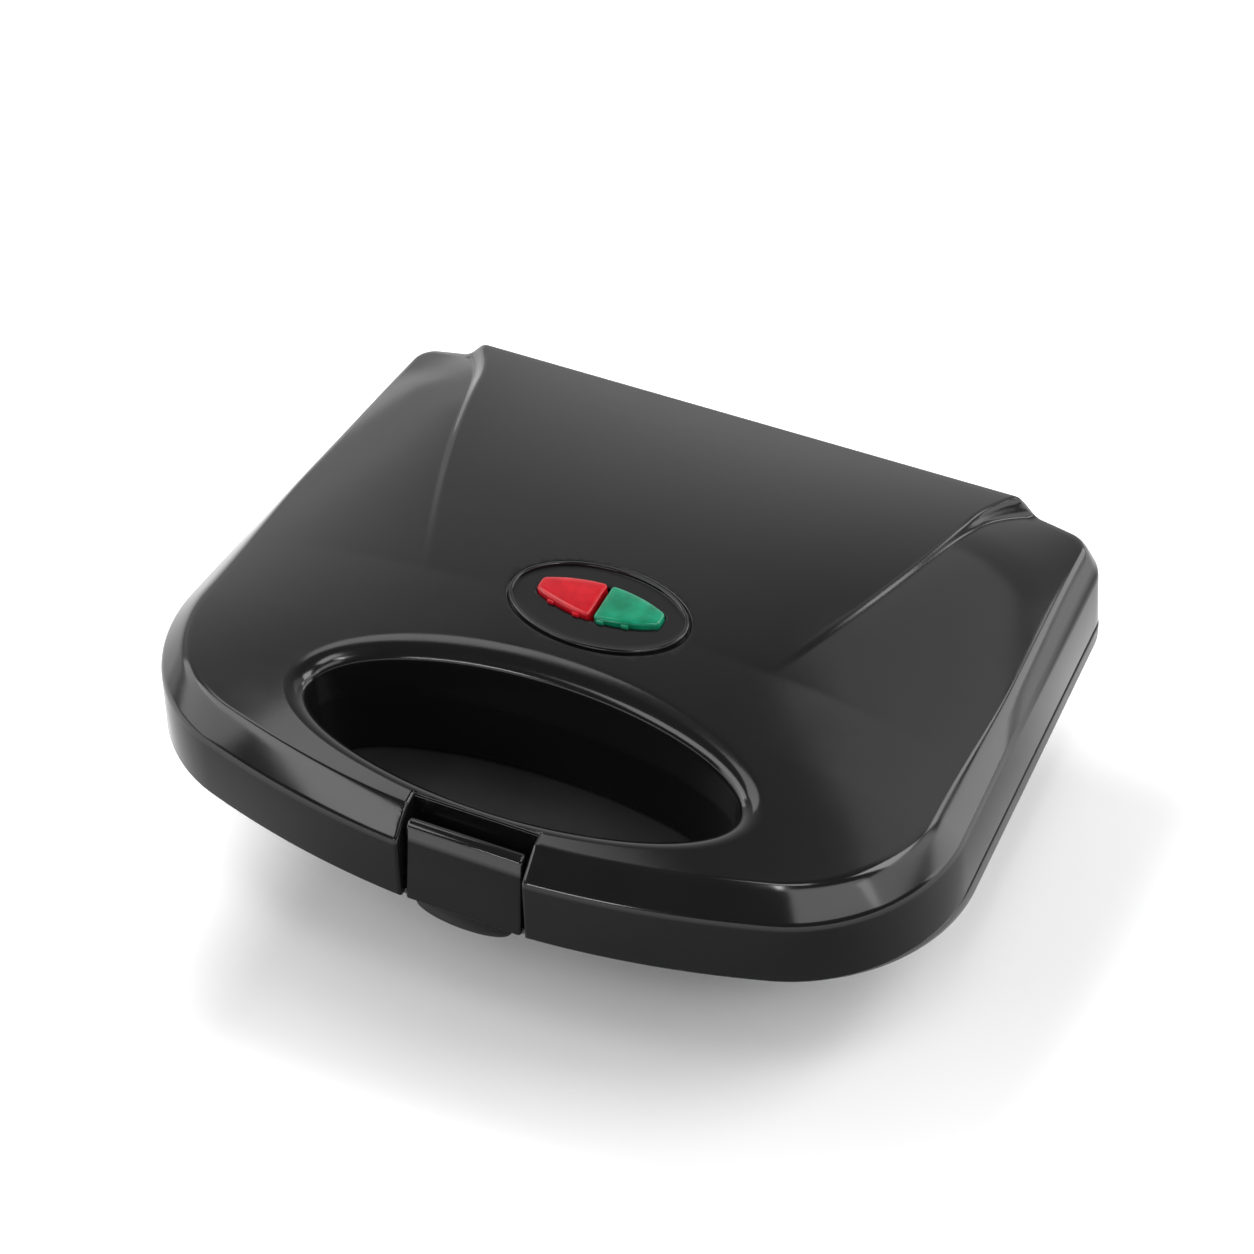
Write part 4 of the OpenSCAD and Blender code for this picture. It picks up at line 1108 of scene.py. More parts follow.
    def notch_cutters(self) -> list[Object]:
        """Makes the notch's block and the solid that rounds the notch's edge.

        The rounding follows the skin up one side, across the rear and down the other side. Its
        section is measured beside the notch, along the skin, and under the skin, and the region
        between the corner (0, 0) and the arc (r - r sin a, r - r cos a) is cut away.
        """
        f, w, r, n, over = self.form, self.notch_half, self.notch_round, self.notch_steps, self.overlap
        y_back = f.front + self.notch_depth
        y_front, low, high = f.front - self.clear, f.joint - self.clear, f.band_top + self.notch_over
        corners = np.array([[-w, y_front], [w, y_front], [w, y_back], [-w, y_back]])
        block = loft("notch_block", [level(corners, low), level(corners, high)])
        side = self.section(w)
        side_step = (self.section(w + self.clear) - side) / self.clear
        keep = side[:, 1] < y_back - self.section_gap
        side, side_step = side[keep][::-1], side_step[keep][::-1]
        side = np.vstack([side[0] - np.array([0, 0, self.notch_under]), side])
        side_step = np.vstack([side_step[:1], side_step])
        normal = np.cross(side_step, np.gradient(side, axis=0))
        normal /= np.linalg.norm(normal, axis=1, keepdims=True)
        normal *= np.sign(normal @ np.array([0, -1.0, 0.5]))[:, None]
        across = side_step / np.linalg.norm(side_step, axis=1, keepdims=True)
        xs = np.linspace(w, 0, n)
        back = f.on_top(np.column_stack([xs, np.full(n, y_back)]))
        slope = (f.top(xs, np.full(n, y_back + 1)) - f.top(xs, np.full(n, y_back - 1))) / 2
        rear = np.column_stack([np.zeros(n), np.ones(n), slope])
        rear /= np.linalg.norm(rear, axis=1, keepdims=True)
        up = np.column_stack([np.zeros(n), -rear[:, 2], rear[:, 1]])
        rear[0] = rear[0] + across[-1]
        half = [np.vstack(pair) for pair in ((side, back), (across, rear), (normal, up))]
        path, away, out = (np.vstack([v, v[-2::-1] * np.array([-1, 1, 1])]) for v in half)
        t = np.linspace(0, np.pi / 2, 7)
        beside = np.concatenate([r - r * np.sin(t), [-over, -over, r]])
        under = np.concatenate([r - r * np.cos(t), [r, -over, -over]])
        rings = path[:, None] + away[:, None] * beside[None, :, None] - out[:, None] * under[None, :, None]
        return [block, loft("notch_round", rings)]

    def notch_lining(self) -> Object:
        """Makes the block inside the lid that the notch is cut from, just under the skin."""
        f = self.form
        y0, y1, z0 = f.front + 1.9, f.front + self.notch_depth + 3.5, f.joint + 0.3
        line = np.array([[y0, z0], [y1, z0], [y1, f.band_top - 0.4],
                         [f.front + f.band_in + 1.2, f.band_top - 1.2], [y0 + 0.2, f.skirt_top - 1.0]])
        return bar("notch_lining", line, -self.notch_half - 8, self.notch_half + 8, 0.4)

    def recess(self) -> list[Object]:
        """Makes the oval recess with its rounded edge, and the window under the lenses.

        Each ring of the recess is an oval in the recess's own frame. The rings of the edge follow
        the skin, so that the rounding has the same size all round.
        """
        f, r = self.form, self.recess_round
        normal = f.bezel_frame()[2]

        def ring(more: float, height: float) -> Array:
            """Gives an oval ring at one height in the recess's own frame."""
            line = oval(f.bezel_length + more, f.bezel_width + more, 0.0, full_turn(self.recess_points))
            return f.on_bezel(level(line, height))

        def under_skin(more: float, depth: float) -> Array:
            """Gives an oval ring at one depth under the lid's skin."""
            base = ring(more, 0.0)
            lift = (f.top(base[:, 0], base[:, 1]) - base[:, 2]) * normal[2] - depth
            return base + lift[:, None] * normal

        rings, low = [ring(0, 0.0), ring(0, 0.05)], ring(0, 0.06)
        for a in np.linspace(0, np.pi / 2, 6):
            row = under_skin(r * (1 - math.cos(a)), r * (1 - math.sin(a)))
            rings.append(np.where((row - low) @ normal[:, None] < 0, low, row))
        rings.append(under_skin(r, -3.0))
        window = f.lens_line(self.window_gap) + np.array([0, f.lens_y])
        hole = [f.on_bezel(level(window, z)) for z in (-12.0, 4.0)]
        return [loft("recess", rings), loft("window", hole)]

    def knuckles(self) -> list[Object]:
        """Makes the two knuckles that reach back from the rear wall round the hinge pins."""
        f, k = self.form, AT.hinge_knuckle
        t = np.linspace(-np.pi / 2, np.pi / 2, 22)
        nose = np.stack([AT.hinge_y + k * np.cos(t), AT.hinge_z + k * np.sin(t)], 1)
        root, foot = f.rear - 1.2, f.joint + 0.3
        line = np.vstack([nose, [[root, AT.hinge_z + k + 1.6], [root, foot], [AT.hinge_y - 2.5, foot]]])
        line = line[line[:, 1] > foot - 0.05]
        half = self.knuckle_wide / 2
        return [bar("knuckle", line, x - half, x + half, 0.6) for x in (-AT.hinge_x, AT.hinge_x)]

    def build(self) -> Object:
        """Builds the whole lid cover."""
        cover = ring_tube("lid_cover", self.skin)
        combine(cover, [self.notch_lining()] + self.knuckles(), "UNION")
        reach, half, n = self.notch_half + self.latch_bore_past, self.hinge_bore_half, self.bore_points
        cutters = self.notch_cutters() + self.recess()
        cutters.append(drill("latch_bore", AT.latch_bore, AT.latch_y, AT.latch_z, -reach, reach, n))
        for x in (-AT.hinge_x, AT.hinge_x):
            cutters.append(drill("hinge_bore", AT.hinge_bore, AT.hinge_y, AT.hinge_z, x - half, x + half, n))
        return combine(cover, cutters, "DIFFERENCE")


# ---------------------------------------------------------------- indicator, latch


@dataclass
class Indicators:
    """The oval face of the indicator recess and the red and green lenses that stand in it."""

    form: LidForm
    gap: float = 1.4
    proud: float = 2.2
    sunk: float = 3.0
    play: float = 0.15
    well: float = 0.25
    face_gap: float = 0.25
    face_lift: float = 0.1
    face_thick: float = 0.6
    face_low: float = 0.2
    bead: float = 0.6
    points: int = 192
    edge: tuple = ((0.0, -0.8), (0.04, -0.5), (0.16, -0.24), (0.36, -0.05), (0.66, 0.04), (1.0, 0.08))
    cushion: float = 0.2
    cushion_half: tuple = (13.0, 8.5)
    corner: float = 1.2
    clip_half: float = 1.1
    clip_depth: tuple = (-0.7, 0.8)
    clip_corner: float = 0.35
    clip_edge: tuple = ((0.0, 0.0), (0.0, 0.7), (0.1, 0.9), (0.3, 0.98))

    def face(self) -> Object:
        """Makes the oval face: a thin plate with a raised rim and an opening for the lenses."""
        f, bead = self.form, self.bead
        t = full_turn(self.points)
        a, b = f.bezel_length - self.face_gap, f.bezel_width - self.face_gap
        low, high = self.face_lift, self.face_lift + self.face_thick
        floor = high - self.face_low
        steps = [(0.0, low)] + [(bead * (math.cos(v) - 1), high + self.face_low + bead * math.sin(v))
                                for v in np.linspace(0, np.pi, 11)]
        steps += [(-1.3, floor + 0.04), (-1.5, floor)]
        rings = [level(oval(a + d, b + d, 0, t), z) for d, z in steps]
        window, well = (self.lens_ring(self.play + more, t) + np.array([0, f.lens_y])
                        for more in (0, self.well))
        start = rings[-1][:, :2]
        rings += [level(start + (well - start) * share, floor) for share in (0.2, 0.4, 0.6, 0.8, 0.94)]
        rings += [level(well, floor - 0.02), level(window, floor - 0.2), level(window, low)]
        return ring_tube("indicator_face", np.array([f.on_bezel(ring) for ring in rings]))

    def lens_ring(self, more: float, angles: Array) -> Array:
        """Gives the lenses' outline in each direction, by interpolation on its own angle.

        Args:
            more: Distance that the outline is moved outward.
            angles: Directions from the middle.

        Returns:
            Array (n, 2).
        """
        line = self.form.lens_line(more, 400)
        own = np.unwrap(np.arctan2(line[:, 1], line[:, 0]))
        order = np.argsort(own)
        own, line = own[order], line[order]
        own = np.concatenate([own[-1:] - 2 * np.pi, own, own[:1] + 2 * np.pi])
        line = np.vstack([line[-1:], line, line[:1]])
        want = (angles - own[1]) % (2 * np.pi) + own[1]
        return np.stack([np.interp(want, own, line[:, 0]), np.interp(want, own, line[:, 1])], 1)

    def half_width_at(self, x: Array) -> Array:
        """Gives the half width sqrt(r^2 - x^2) - (r - b) of the lenses at x."""
        r = self.form.lens_radius()
        return np.sqrt(r * r - x * x) - (r - self.form.lens_width)

    def lens(self, name: str, side: int, clips: tuple[float, ...]) -> Object:
        """Makes one lens: half of the blunt oval with a cushioned face and clips at its front edge.

        The rings are inset by the rounding of the face's edge, and the face rises slightly inward.

        Args:
            name: Name of the piece.
            side: 1 for the right half, -1 for the left one.
            clips: Places of the clips along x, from the middle outward.

        Returns:
            The lens.
        """
        f, top = self.form, self.proud
        x = np.linspace(self.gap / 2, f.lens_length, 50)
        wide = self.half_width_at(x)
        end = np.linspace(-1, 1, 14)[1:-1]
        outer, middle = np.full(12, x[-1]), np.full(12, x[0])
        outline = np.vstack([np.column_stack([x, -wide]), np.column_stack([outer, end * wide[-1]]),
                             np.column_stack([x, wide])[::-1], np.column_stack([middle, -end * wide[0]])])
        if side < 0:
            outline = (outline * np.array([-1, 1]))[::-1]
        outline = even_out(outline, self.corner) + np.array([0, f.lens_y])
        rings = [level(outline, -self.sunk)]
        rings += [level(inset_line(outline, inset), top + z) for inset, z in self.edge]
        centre = outline.mean(0)
        inner = rings[-1][:, :2]
        rings += [level(centre + (inner - centre) * share, 0.0) for share in (0.75, 0.5, 0.25, 0.05)]
        for ring in rings[len(self.edge):]:
            flat = (ring[:, :2] - centre) / np.array(self.cushion_half)
            ring[:, 2] = top + self.cushion * (1 - (flat ** 2).sum(1))
        body = loft(name, [f.on_bezel(ring) for ring in rings])
        lift = self.face_lift + self.face_thick - 0.15
        lugs = []
        for place in clips:
            y0, y1 = (f.lens_y - self.half_width_at(place) + d for d in self.clip_depth)
            x0, x1 = place - self.clip_half, place + self.clip_half
            flat = np.array([[x0, y0], [x1, y0], [x1, y1], [x0, y1]]) * np.array([side, 1])
            flat = round_corners(flat[::side], self.clip_corner)
            lugs.append(loft("clip", [f.on_bezel(level(inset_line(flat, inset), lift + z))
                                      for inset, z in self.clip_edge]))
        return combine(body, lugs, "UNION")


def even_out(line: Array, reach: float) -> Array:
    """Rounds a closed line by averaging each of its points with its neighbours.

    Args:
        line: Closed line (n, 2).
        reach: How far the neighbours reach.

    Returns:
        Array (2 n, 2), with its points evenly spaced.
    """
    step = np.linalg.norm(np.roll(line, -1, 0) - line, axis=1)
    place = np.concatenate([[0], np.cumsum(step)])
    closed = np.vstack([line, line[:1]])
    count = 4 * len(line)
    even = np.linspace(0, place[-1], count, endpoint=False)
    fine = np.stack([np.interp(even, place, closed[:, k]) for k in (0, 1)], 1)
    window = max(1, int(round(reach / (place[-1] / count))))
    kernel = np.ones(2 * window + 1) / (2 * window + 1)
    wrapped = np.vstack([fine[-2 * window:], fine, fine[:2 * window]])
    soft = np.stack([np.convolve(wrapped[:, k], kernel, "same")[2 * window:-2 * window] for k in (0, 1)], 1)
    return soft[::2]


@dataclass
class Latch:
    """The latch: a leaning plate with a bevelled top, a knuckle, a finger tab and a hook."""

    form: LidForm
    half: float = 17.5
    foot_y: float = -99.624
    foot_z: float = 43.6
    lean: float = 3.9
    thick: float = 3.2
    bevel: tuple = ((7.9, 7.5), (6.6, 7.7))
    corners: tuple = (0.7, 0.7, 1.2, 0.5, 0.7, 1.0)
    knuckle: float = 3.0
    arm: float = 4.0
    tab_half: float = 14.5
    tab_thick: float = 1.8
    tab_drop: float = 5.5
    tab_edge: tuple = ((0.5, 0.0), (0.15, 0.15), (0.0, 0.5), (0.0, 1.5), (0.3, 1.8))
    tab_back: float = 0.3
    hook_z: float = 39.6
    hook_reach: float = -96.424
    hook_half: float = 5.0

    def build(self) -> Object:
        """Builds the latch."""
        y0, z0, k = self.foot_y, self.foot_z, self.knuckle
        pin_y, pin_z = AT.latch_y, AT.latch_z
        face = [[y0, z0], [y0 + self.thick, z0], [y0 + self.lean + self.thick, pin_z + 4]]
        face += [[self.form.front + y, pin_z + z] for y, z in self.bevel] + [[y0 + self.lean, pin_z + 6.6]]
        latch = bar("latch_cover", round_corners(face, self.corners, 6), -self.half, self.half, 0.9)
        arm = np.array([[pin_y - self.arm, pin_z - k], [pin_y, pin_z - k], [pin_y, pin_z + k],
                        [pin_y - self.arm, pin_z + k]])
        parts = [bar("latch_part", line, -self.half, self.half, 0.4)
                 for line in (circle(k, pin_y, pin_z), arm)]
        moon = oval(self.tab_half, self.tab_drop, 0.0, np.linspace(np.pi, 2 * np.pi, 60))
        moon = np.vstack([moon, [[self.tab_half, 0.5], [-self.tab_half, 0.5]]])
        rings = [level(inset_line(moon, inset), y0 + self.tab_back + y)[:, [0, 2, 1]] + np.array([0, 0, z0])
                 for inset, y in self.tab_edge]
        parts.append(loft("latch_tab", rings))
        root, tip, z = y0 + self.tab_thick - 0.2, self.hook_reach, self.hook_z
        nose = np.array([[root, z - 1.3], [root + 0.8, z - 1.3], [tip, z - 0.7], [tip, z], [root, z]])
        parts.append(bar("latch_hook", nose, -self.hook_half, self.hook_half, 0.2))
        combine(latch, parts, "UNION")
        reach = self.half + 3
        return combine(latch, [drill("latch_hole", AT.latch_bore, pin_y, pin_z, -reach, reach)], "DIFFERENCE")


# ---------------------------------------------------------------- cooking plates


@dataclass
class CookingPlate:
    """A cast plate with four triangular pockets, cutting ridges between them and a flat rim.

    Heights are measured from the cooking face, at face_z. The upper plate is the same form upside down.
    """

    name: str
    pocket_depth: float
    face_z: float
    upside_down: bool = False
    half_width: float = 106.0
    half_depth: float = 53.012
    corner: float = 9.0
    corner_share: float = 0.2
    rim_thick: float = 2.6
    cast_thick: float = 2.3
    least_thick: float = 1.4
    bar_half: float = 6.0
    side_rim: float = 10.0
    front_rim: float = 7.0
    ridge_half: float = 2.5
    ridge_blend: float = 1.6
    back_blend: float = 1.5
    slope_run: float = 9.5
    slope_power: float = 2.6
    groove_share: float = 0.42
    groove_run: float = 36.0
    groove_flat: float = 0.5
    groove_wide: float = 5.4
    edge_round: float = 0.5
    edge_flat: float = 0.15
    screw_hole: float = 1.7
    screw_head: float = 3.1
    pad: tuple = (9.0, 8.0)
    rows: int = 121
    cols: int = 241

    def plan(self, inset: float) -> Array:
        """Gives grid points (rows, cols, 2) that fill the rounded outline moved inward by inset."""
        w, d, r = self.half_width - inset, self.half_depth - inset, self.corner - inset
        v, mid = np.linspace(-1, 1, self.rows), 1 - self.corner_share
        turn = np.clip((np.abs(v) - mid) / self.corner_share, 0, 1) * np.pi / 2
        y = np.sign(v) * np.where(np.abs(v) < mid, np.abs(v) / mid * (d - r), d - r + r * np.sin(turn))
        half = np.maximum(w - r + r * np.where(np.abs(v) < mid, 1, np.cos(turn)), w - r)
        x = np.linspace(-1, 1, self.cols)[None, :] * half[:, None]
        return np.stack([x, np.broadcast_to(y[:, None], x.shape)], -1)

    def cell(self) -> tuple[Array, Array, Array]:
        """Gives the right-hand cell's lowest and highest corner and the direction of its diagonal."""
        low = np.array([self.bar_half, -self.half_depth + self.front_rim])
        high = np.array([self.half_width - self.side_rim, self.half_depth - self.front_rim])
        return low, high, (high - low) / math.hypot(*(high - low))

    @staticmethod
    def soft_least(sides: tuple[Array, ...], blend: float) -> Array:
        """Gives the soft minimum -k ln(sum e^(-d / k)) of distances d, with k the blend."""
        return -blend * np.log(sum(np.exp(np.clip(-side / blend, -60, 60)) for side in sides))

    def depth_at(self, x: Array, y: Array) -> Array:
        """Gives the depth of the pockets at x, y.

        The distance d into a triangle is the soft minimum of the distances from its three sides.
        The depth is the pocket's depth times 1 - (1 - d / run)^2.6, with the edge at d = 0 rounded
        by (d + sqrt(d^2 + e^2)) / 2.

        Args:
            x: Places across the width, in an array of any shape.
            y: Places from the plate's middle along the depth, in the same shape.

        Returns:
            Depths in the same shape.
        """
        x = np.abs(x)
        (x0, y0), (x1, y1), along = self.cell()
        off = (x - x0) * along[1] - (y - y0) * along[0]
        total = np.zeros_like(x)
        for sides in ((off - self.ridge_half, y - y0, x1 - x), (-off - self.ridge_half, y1 - y, x - x0)):
            d = self.soft_least(sides, self.ridge_blend) - 0.1
            d = (d + np.sqrt(d * d + 0.5)) / 2 - 0.02
            total = np.maximum(total, 1 - (1 - np.clip(d / self.slope_run, 0, 1)) ** self.slope_power)
        return total * self.pocket_depth

    def back_at(self, x: Array, y: Array, face: Array) -> Array:
        """Gives the height of the plate's back at x, y, at least least_thick behind the face.

        It follows the pockets, with a groove along each diagonal and a flat pad in the middle.

        Args:
            x: Places across the width, in an array of any shape.
            y: Places from the plate's middle along the depth, in the same shape.
            face: Heights of the face there.

        Returns:
            Heights in the same shape.
        """
        ax = np.abs(x)
        (x0, y0), (x1, y1), along = self.cell()
        d = self.soft_least((ax - x0, x1 - ax, y - y0, y1 - y), self.back_blend)
        deep = self.pocket_depth + self.cast_thick
        shape = np.interp(d, [-1.6, 1.3, 4.0, 7.2], [1.0, 0.7 * self.pocket_depth, 0.9 * deep, deep])
        back = -np.maximum(self.rim_thick, shape)
        mid = np.array([(x0 + x1) / 2, (y0 + y1) / 2])
        off = np.abs((ax - mid[0]) * along[1] - (y - mid[1]) * along[0])
        run = np.abs((ax - mid[0]) * along[0] + (y - mid[1]) * along[1])
        ridge = self.groove_share * self.pocket_depth
        groove = -ridge - np.maximum(0, off - self.groove_flat) / self.groove_wide * (deep - ridge)
        back = np.where(run < self.groove_run, np.maximum(back, groove), back)
        back = np.where((ax < self.pad[0]) & (np.abs(y) < self.pad[1]), -deep, back)
        return np.minimum(back, face - self.least_thick)

    def cutter(self, x: float, y: float) -> Object:
        """Makes the countersunk hole's cutter at x, y from the plate's middle."""
        hole, head = self.screw_hole, self.screw_head
        profile = np.array([[hole, -self.rim_thick - 3], [hole, -1.5], [head, -0.02], [head + 0.3, 0.4],
                            [head + 0.3, 2]])
        if self.upside_down:
            profile = profile[::-1] * np.array([1, -1])
        return revolve("plate_hole", profile, (x, AT.plate_y + y, self.face_z), 40)

    def build(self) -> Object:
        """Builds the plate: the face, the back and the rounded rim between them, then its holes."""
        e, t, flat = self.edge_round, self.rim_thick, self.edge_flat
        inner = self.plan(e)
        face = -self.depth_at(inner[..., 0], inner[..., 1])
        back = self.back_at(inner[..., 0], inner[..., 1], face)
        count = self.rows * self.cols
        n = np.arange(count).reshape(self.rows, self.cols)
        loop = np.concatenate([n[0, :-1], n[:-1, -1], n[-1, :0:-1], n[:0:-1, 0]])
        rings = [level(self.plan(inset).reshape(-1, 2)[loop], z)
                 for inset, z in ((flat, -flat), (0.0, -e), (0.0, -t + e), (flat, -t + flat))]
        points = np.concatenate([np.dstack([inner, face]).reshape(-1, 3)] + rings
                                + [np.dstack([inner, back]).reshape(-1, 3)])
        below = count + len(rings) * len(loop)
        between = [count + k * len(loop) + np.arange(len(loop)) for k in range(len(rings))]
        steps = [loop, *between, below + loop]
        grid = grid_faces(self.rows, self.cols)
        faces = [grid, grid[:, ::-1] + below]
        faces += [np.stack([a, b, np.roll(b, -1), np.roll(a, -1)], -1) for a, b in zip(steps[:-1], steps[1:])]
        flip = np.array([1, 1, -1 if self.upside_down else 1])
        plate = add_mesh(self.name, points * flip + np.array([0, AT.plate_y, self.face_z]), faces)
        holes = [self.cutter(sx * AT.plate_screw_x, sy * AT.plate_screw_y) for sx, sy in CORNERS]
        return combine(plate, holes, "DIFFERENCE")


def plate_hole(z0: float, z1: float) -> Object:
    """Makes the cutter for a plate's cut-out between two heights, flared so that its edges are round."""
    half, corner = AT.plate_seat, AT.plate_seat_corner
    a = np.linspace(0, np.pi / 2, 12)
    quarter = np.stack([half[0] - corner + corner * np.cos(a), half[1] - corner + corner * np.sin(a)], 1)
    line = np.vstack([quarter, quarter[::-1] * [-1, 1], quarter * [-1, -1], quarter[::-1] * [1, -1]])
    line = line + np.array([0, AT.plate_y])
    flare = ((0.45, -1), (0.4, 0), (0.12, 0.12), (0, 0.4))
    steps = [(more, z0 + z) for more, z in flare] + [(more, z1 - z) for more, z in flare[::-1]]
    return loft("plate_hole", [level(inset_line(line, -more), z) for more, z in steps])


# ---------------------------------------------------------------- base


@dataclass
class Base:
    """The base tub with its sweeping underside, hinge block and lugs, and the deck that closes it.

    The rows of outside and hollow give how far the plan is moved inward at the sides, front and
    rear, the radius of its rear corners, its height, and the rounding of the edge there.
    """

    front: float = -96.124
    half_width: float = 119.7
    rear: float = 85.2
    front_radius: float = 280.0
    corner_radius: float = 50.0
    corner_less: float = 0.55
    taper: float = 3.5
    bottom: float = 3.0
    top: float = 43.2
    outside: tuple = (
        (34, 53, 12, 14, 3.0, 0), (31, 49, 9, 14, 4.6, 2.0), (26.5, 42.5, 6, 13, 9.0, 5.0),
        (0.3, 4.4, 0.6, 11, 36.2, 3.5), (0, 0, 0, 11, 40.0, 1.2), (0, 0, 0, 11, 42.4, 0.35),
        (1.2, 1.2, 1.2, 10, 42.4, 0.25), (1.2, 1.2, 1.2, 10, 43.2, 0.25), (2.0, 2.0, 2.0, 9.5, 43.2, 0))
    hollow: tuple = (
        (32.5, 52, 11, 12, 5.5, 0), (29, 45.5, 8.6, 12, 9.5, 3.0), (4.3, 9.6, 3.1, 9.5, 35.6, 3.0),
        (2.5, 4.5, 2.5, 9.5, 39.0, 1.0), (2.5, 2.5, 2.5, 9.5, 40.65, 0.5), (2.5, 2.5, 2.5, 9.5, 42.6, 0.3),
        (2.0, 2.0, 2.0, 9.9, 43.25, 0), (1.9, 1.9, 1.9, 9.9, 45.0, 0))
    block_half: float = 92.0
    block_front: float = 74.0
    block_rear: float = 97.6
    block_low: tuple = (90.6, 12.0, 21.0)
    block_corners: tuple = (2.4, 4.0, 5.0, 2.4, 2.4)
    block_edge: float = 1.5
    side_line: tuple = ((86, 93, 119.4), (3.0, 9.3, 36.2))
    side_wall: float = 3.0
    side_lean: float = 0.04
    lugs: tuple = (81.3, 62.7)
    lug_wide: float = 6.0
    lug_root: float = 4.0
    slot_half: float = 6.3
    slot_gap: float = 0.5
    bore_half: float = 14.3
    latch_slot: tuple = (6.5, 36.6, 40.0)
    cord_hole: float = 5.5
    plate_post: tuple = (3.4, 40.6)
    deck_post: tuple = (4.0, 20.0)
    foot_post: tuple = (4.5, 7.0)
    deck_inset: float = 2.7

    def plan(self, side: float, front: float, rear: float, rear_radius: float) -> Array:
        """Gives the base's plan, moved inward by different amounts.

        Args:
            side: How far it is moved in at the sides.
            front: How far at the front.
            rear: How far at the rear.
            rear_radius: Radius of its rear corners.

        Returns:
            Array (n, 2).
        """
        return lid_outline(self.front + front, self.half_width - side, self.rear - rear,
                           self.front_radius - front, self.corner_radius - side * self.corner_less,
                           rear_radius, self.taper, (30, 26, 16, 10, 12))

    def bowl(self, name: str, table: tuple) -> Object:
        """Makes a solid through the plans of a table, with its edges rounded."""
        rows = [level(self.plan(*key[:4]), key[4]) for key in table]
        return loft(name, soften_rows(rows, tuple(key[5] for key in table), 5))

    def tub(self) -> Object:
        """Makes the tub's outside with its hinge block, then hollows it and adds what stands in it."""
        tub = self.bowl("base_tub", self.outside)
        y, low, high = self.block_low
        profile = [[self.block_front, low], [y, low], [self.block_rear, high], [self.block_rear, self.top],
                   [self.block_front, self.top]]
        block = bar("hinge_block", round_corners(profile, self.block_corners, 6), -self.block_half,
                    self.block_half, self.block_edge)
        combine(tub, [block], "UNION")
        combine(tub, [self.bowl("base_hollow", self.hollow)], "DIFFERENCE")
        return combine(tub, self.posts() + self.lug_bars(), "UNION")

    def posts(self) -> list[Object]:
        """Makes the posts for the plate screws, the deck screws and the feet."""
        x, y = AT.deck_screw
        places = [(sx * AT.plate_screw_x, AT.plate_y + sy * AT.plate_screw_y, *self.plate_post)
                  for sx, sy in CORNERS]
        places += [(side * x, y, *self.deck_post) for side in BOTH]
        places += [(side * AT.foot_x, fy, *self.foot_post) for side in BOTH for fy in AT.foot_ys]
        out = []
        for px, py, r, high in places:
            low = self.foot_of_post(abs(px) + r, py)
            out.append(revolve("post", [(r, low), (r, high - 0.3), (r - 0.3, high)], (px, py, 0), 32))
        return out

    def foot_of_post(self, reach: float, y: float) -> float:
        """Gives the lowest height at which a post that reaches out to x = reach stays inside the tub.

        The side's outer line rises as side_line says, and leans in toward the rear, so a post at a
        larger y starts higher.

        Args:
            reach: The post's outermost place across the width.
            y: Its place along the depth.

        Returns:
            The height of its foot.
        """
        low = float(np.interp(reach + self.side_wall + self.side_lean * max(0.0, y), *self.side_line))
        return low + (2.0 if low == self.bottom else 0.6)

    def lug_bars(self) -> list[Object]:
        """Makes the four lugs that hold the hinge pins."""
        t, r, root = np.linspace(0, np.pi, 26), AT.hinge_knuckle, self.top - self.lug_root
        nose = np.stack([AT.hinge_y + r * np.cos(t), AT.hinge_z + r * np.sin(t)], 1)
        line = np.vstack([nose, [[AT.hinge_y - r, root], [AT.hinge_y + r, root]]])
        half = self.lug_wide / 2
        return [bar("lug", line, side * x - half, side * x + half) for side in BOTH for x in self.lugs]

    def cutters(self) -> list[Object]:
        """Makes the cutters for the latch's slot, hinge, cord, screws and feet."""

        def upright(x: float, y: float, *profile: tuple) -> Object:
            """Makes a round upright cutter from (radius, height) pairs."""
            return revolve("upright", profile, (x, y, 0), 36)

        half, low, high = self.latch_slot
        y0, y1 = self.front - 2, self.front + 8
        slot = np.array([[y0, low], [y1, low], [y1, high], [y0, high]])
        out = [bar("latch_slot", slot, -half, half, 0.01)]
        for side in BOTH:
            x = side * AT.hinge_x
            for radius, reach in ((AT.hinge_knuckle + self.slot_gap, self.slot_half),
                                  (AT.hinge_bore, self.bore_half)):
                out.append(drill("hinge_bore", radius, AT.hinge_y, AT.hinge_z, x - reach, x + reach))
            out += [upright(side * AT.plate_screw_x, AT.plate_y + sy * AT.plate_screw_y, (1.55, 30.9),
                            (1.55, 41.2)) for sy in BOTH]
            out.append(upright(side * AT.deck_screw[0], AT.deck_screw[1], (4.0, 1.0), (4.0, 2.9), (3.3, 3.6),
                               (3.3, 16.0), (1.7, 16.01), (1.7, 21)))
            out += [upright(side * AT.foot_x, y, (8.8, 1.0), (8.8, 2.9), (8.3, 3.3), (8.3, 3.8), (2.4, 3.81),
                            (2.4, 9.5)) for y in AT.foot_ys]
        r = self.cord_hole
        out.append(revolve("cord_hole", [[r, 65.5], [r, 97.0], [r + 0.6, 97.7], [r + 0.6, 110]],
                           (AT.cord_x, 0, AT.cord_z), 48, True))
        return out

    def build(self) -> Object:
        """Builds the tub with all its holes."""
        return combine(self.tub(), self.cutters(), "DIFFERENCE")

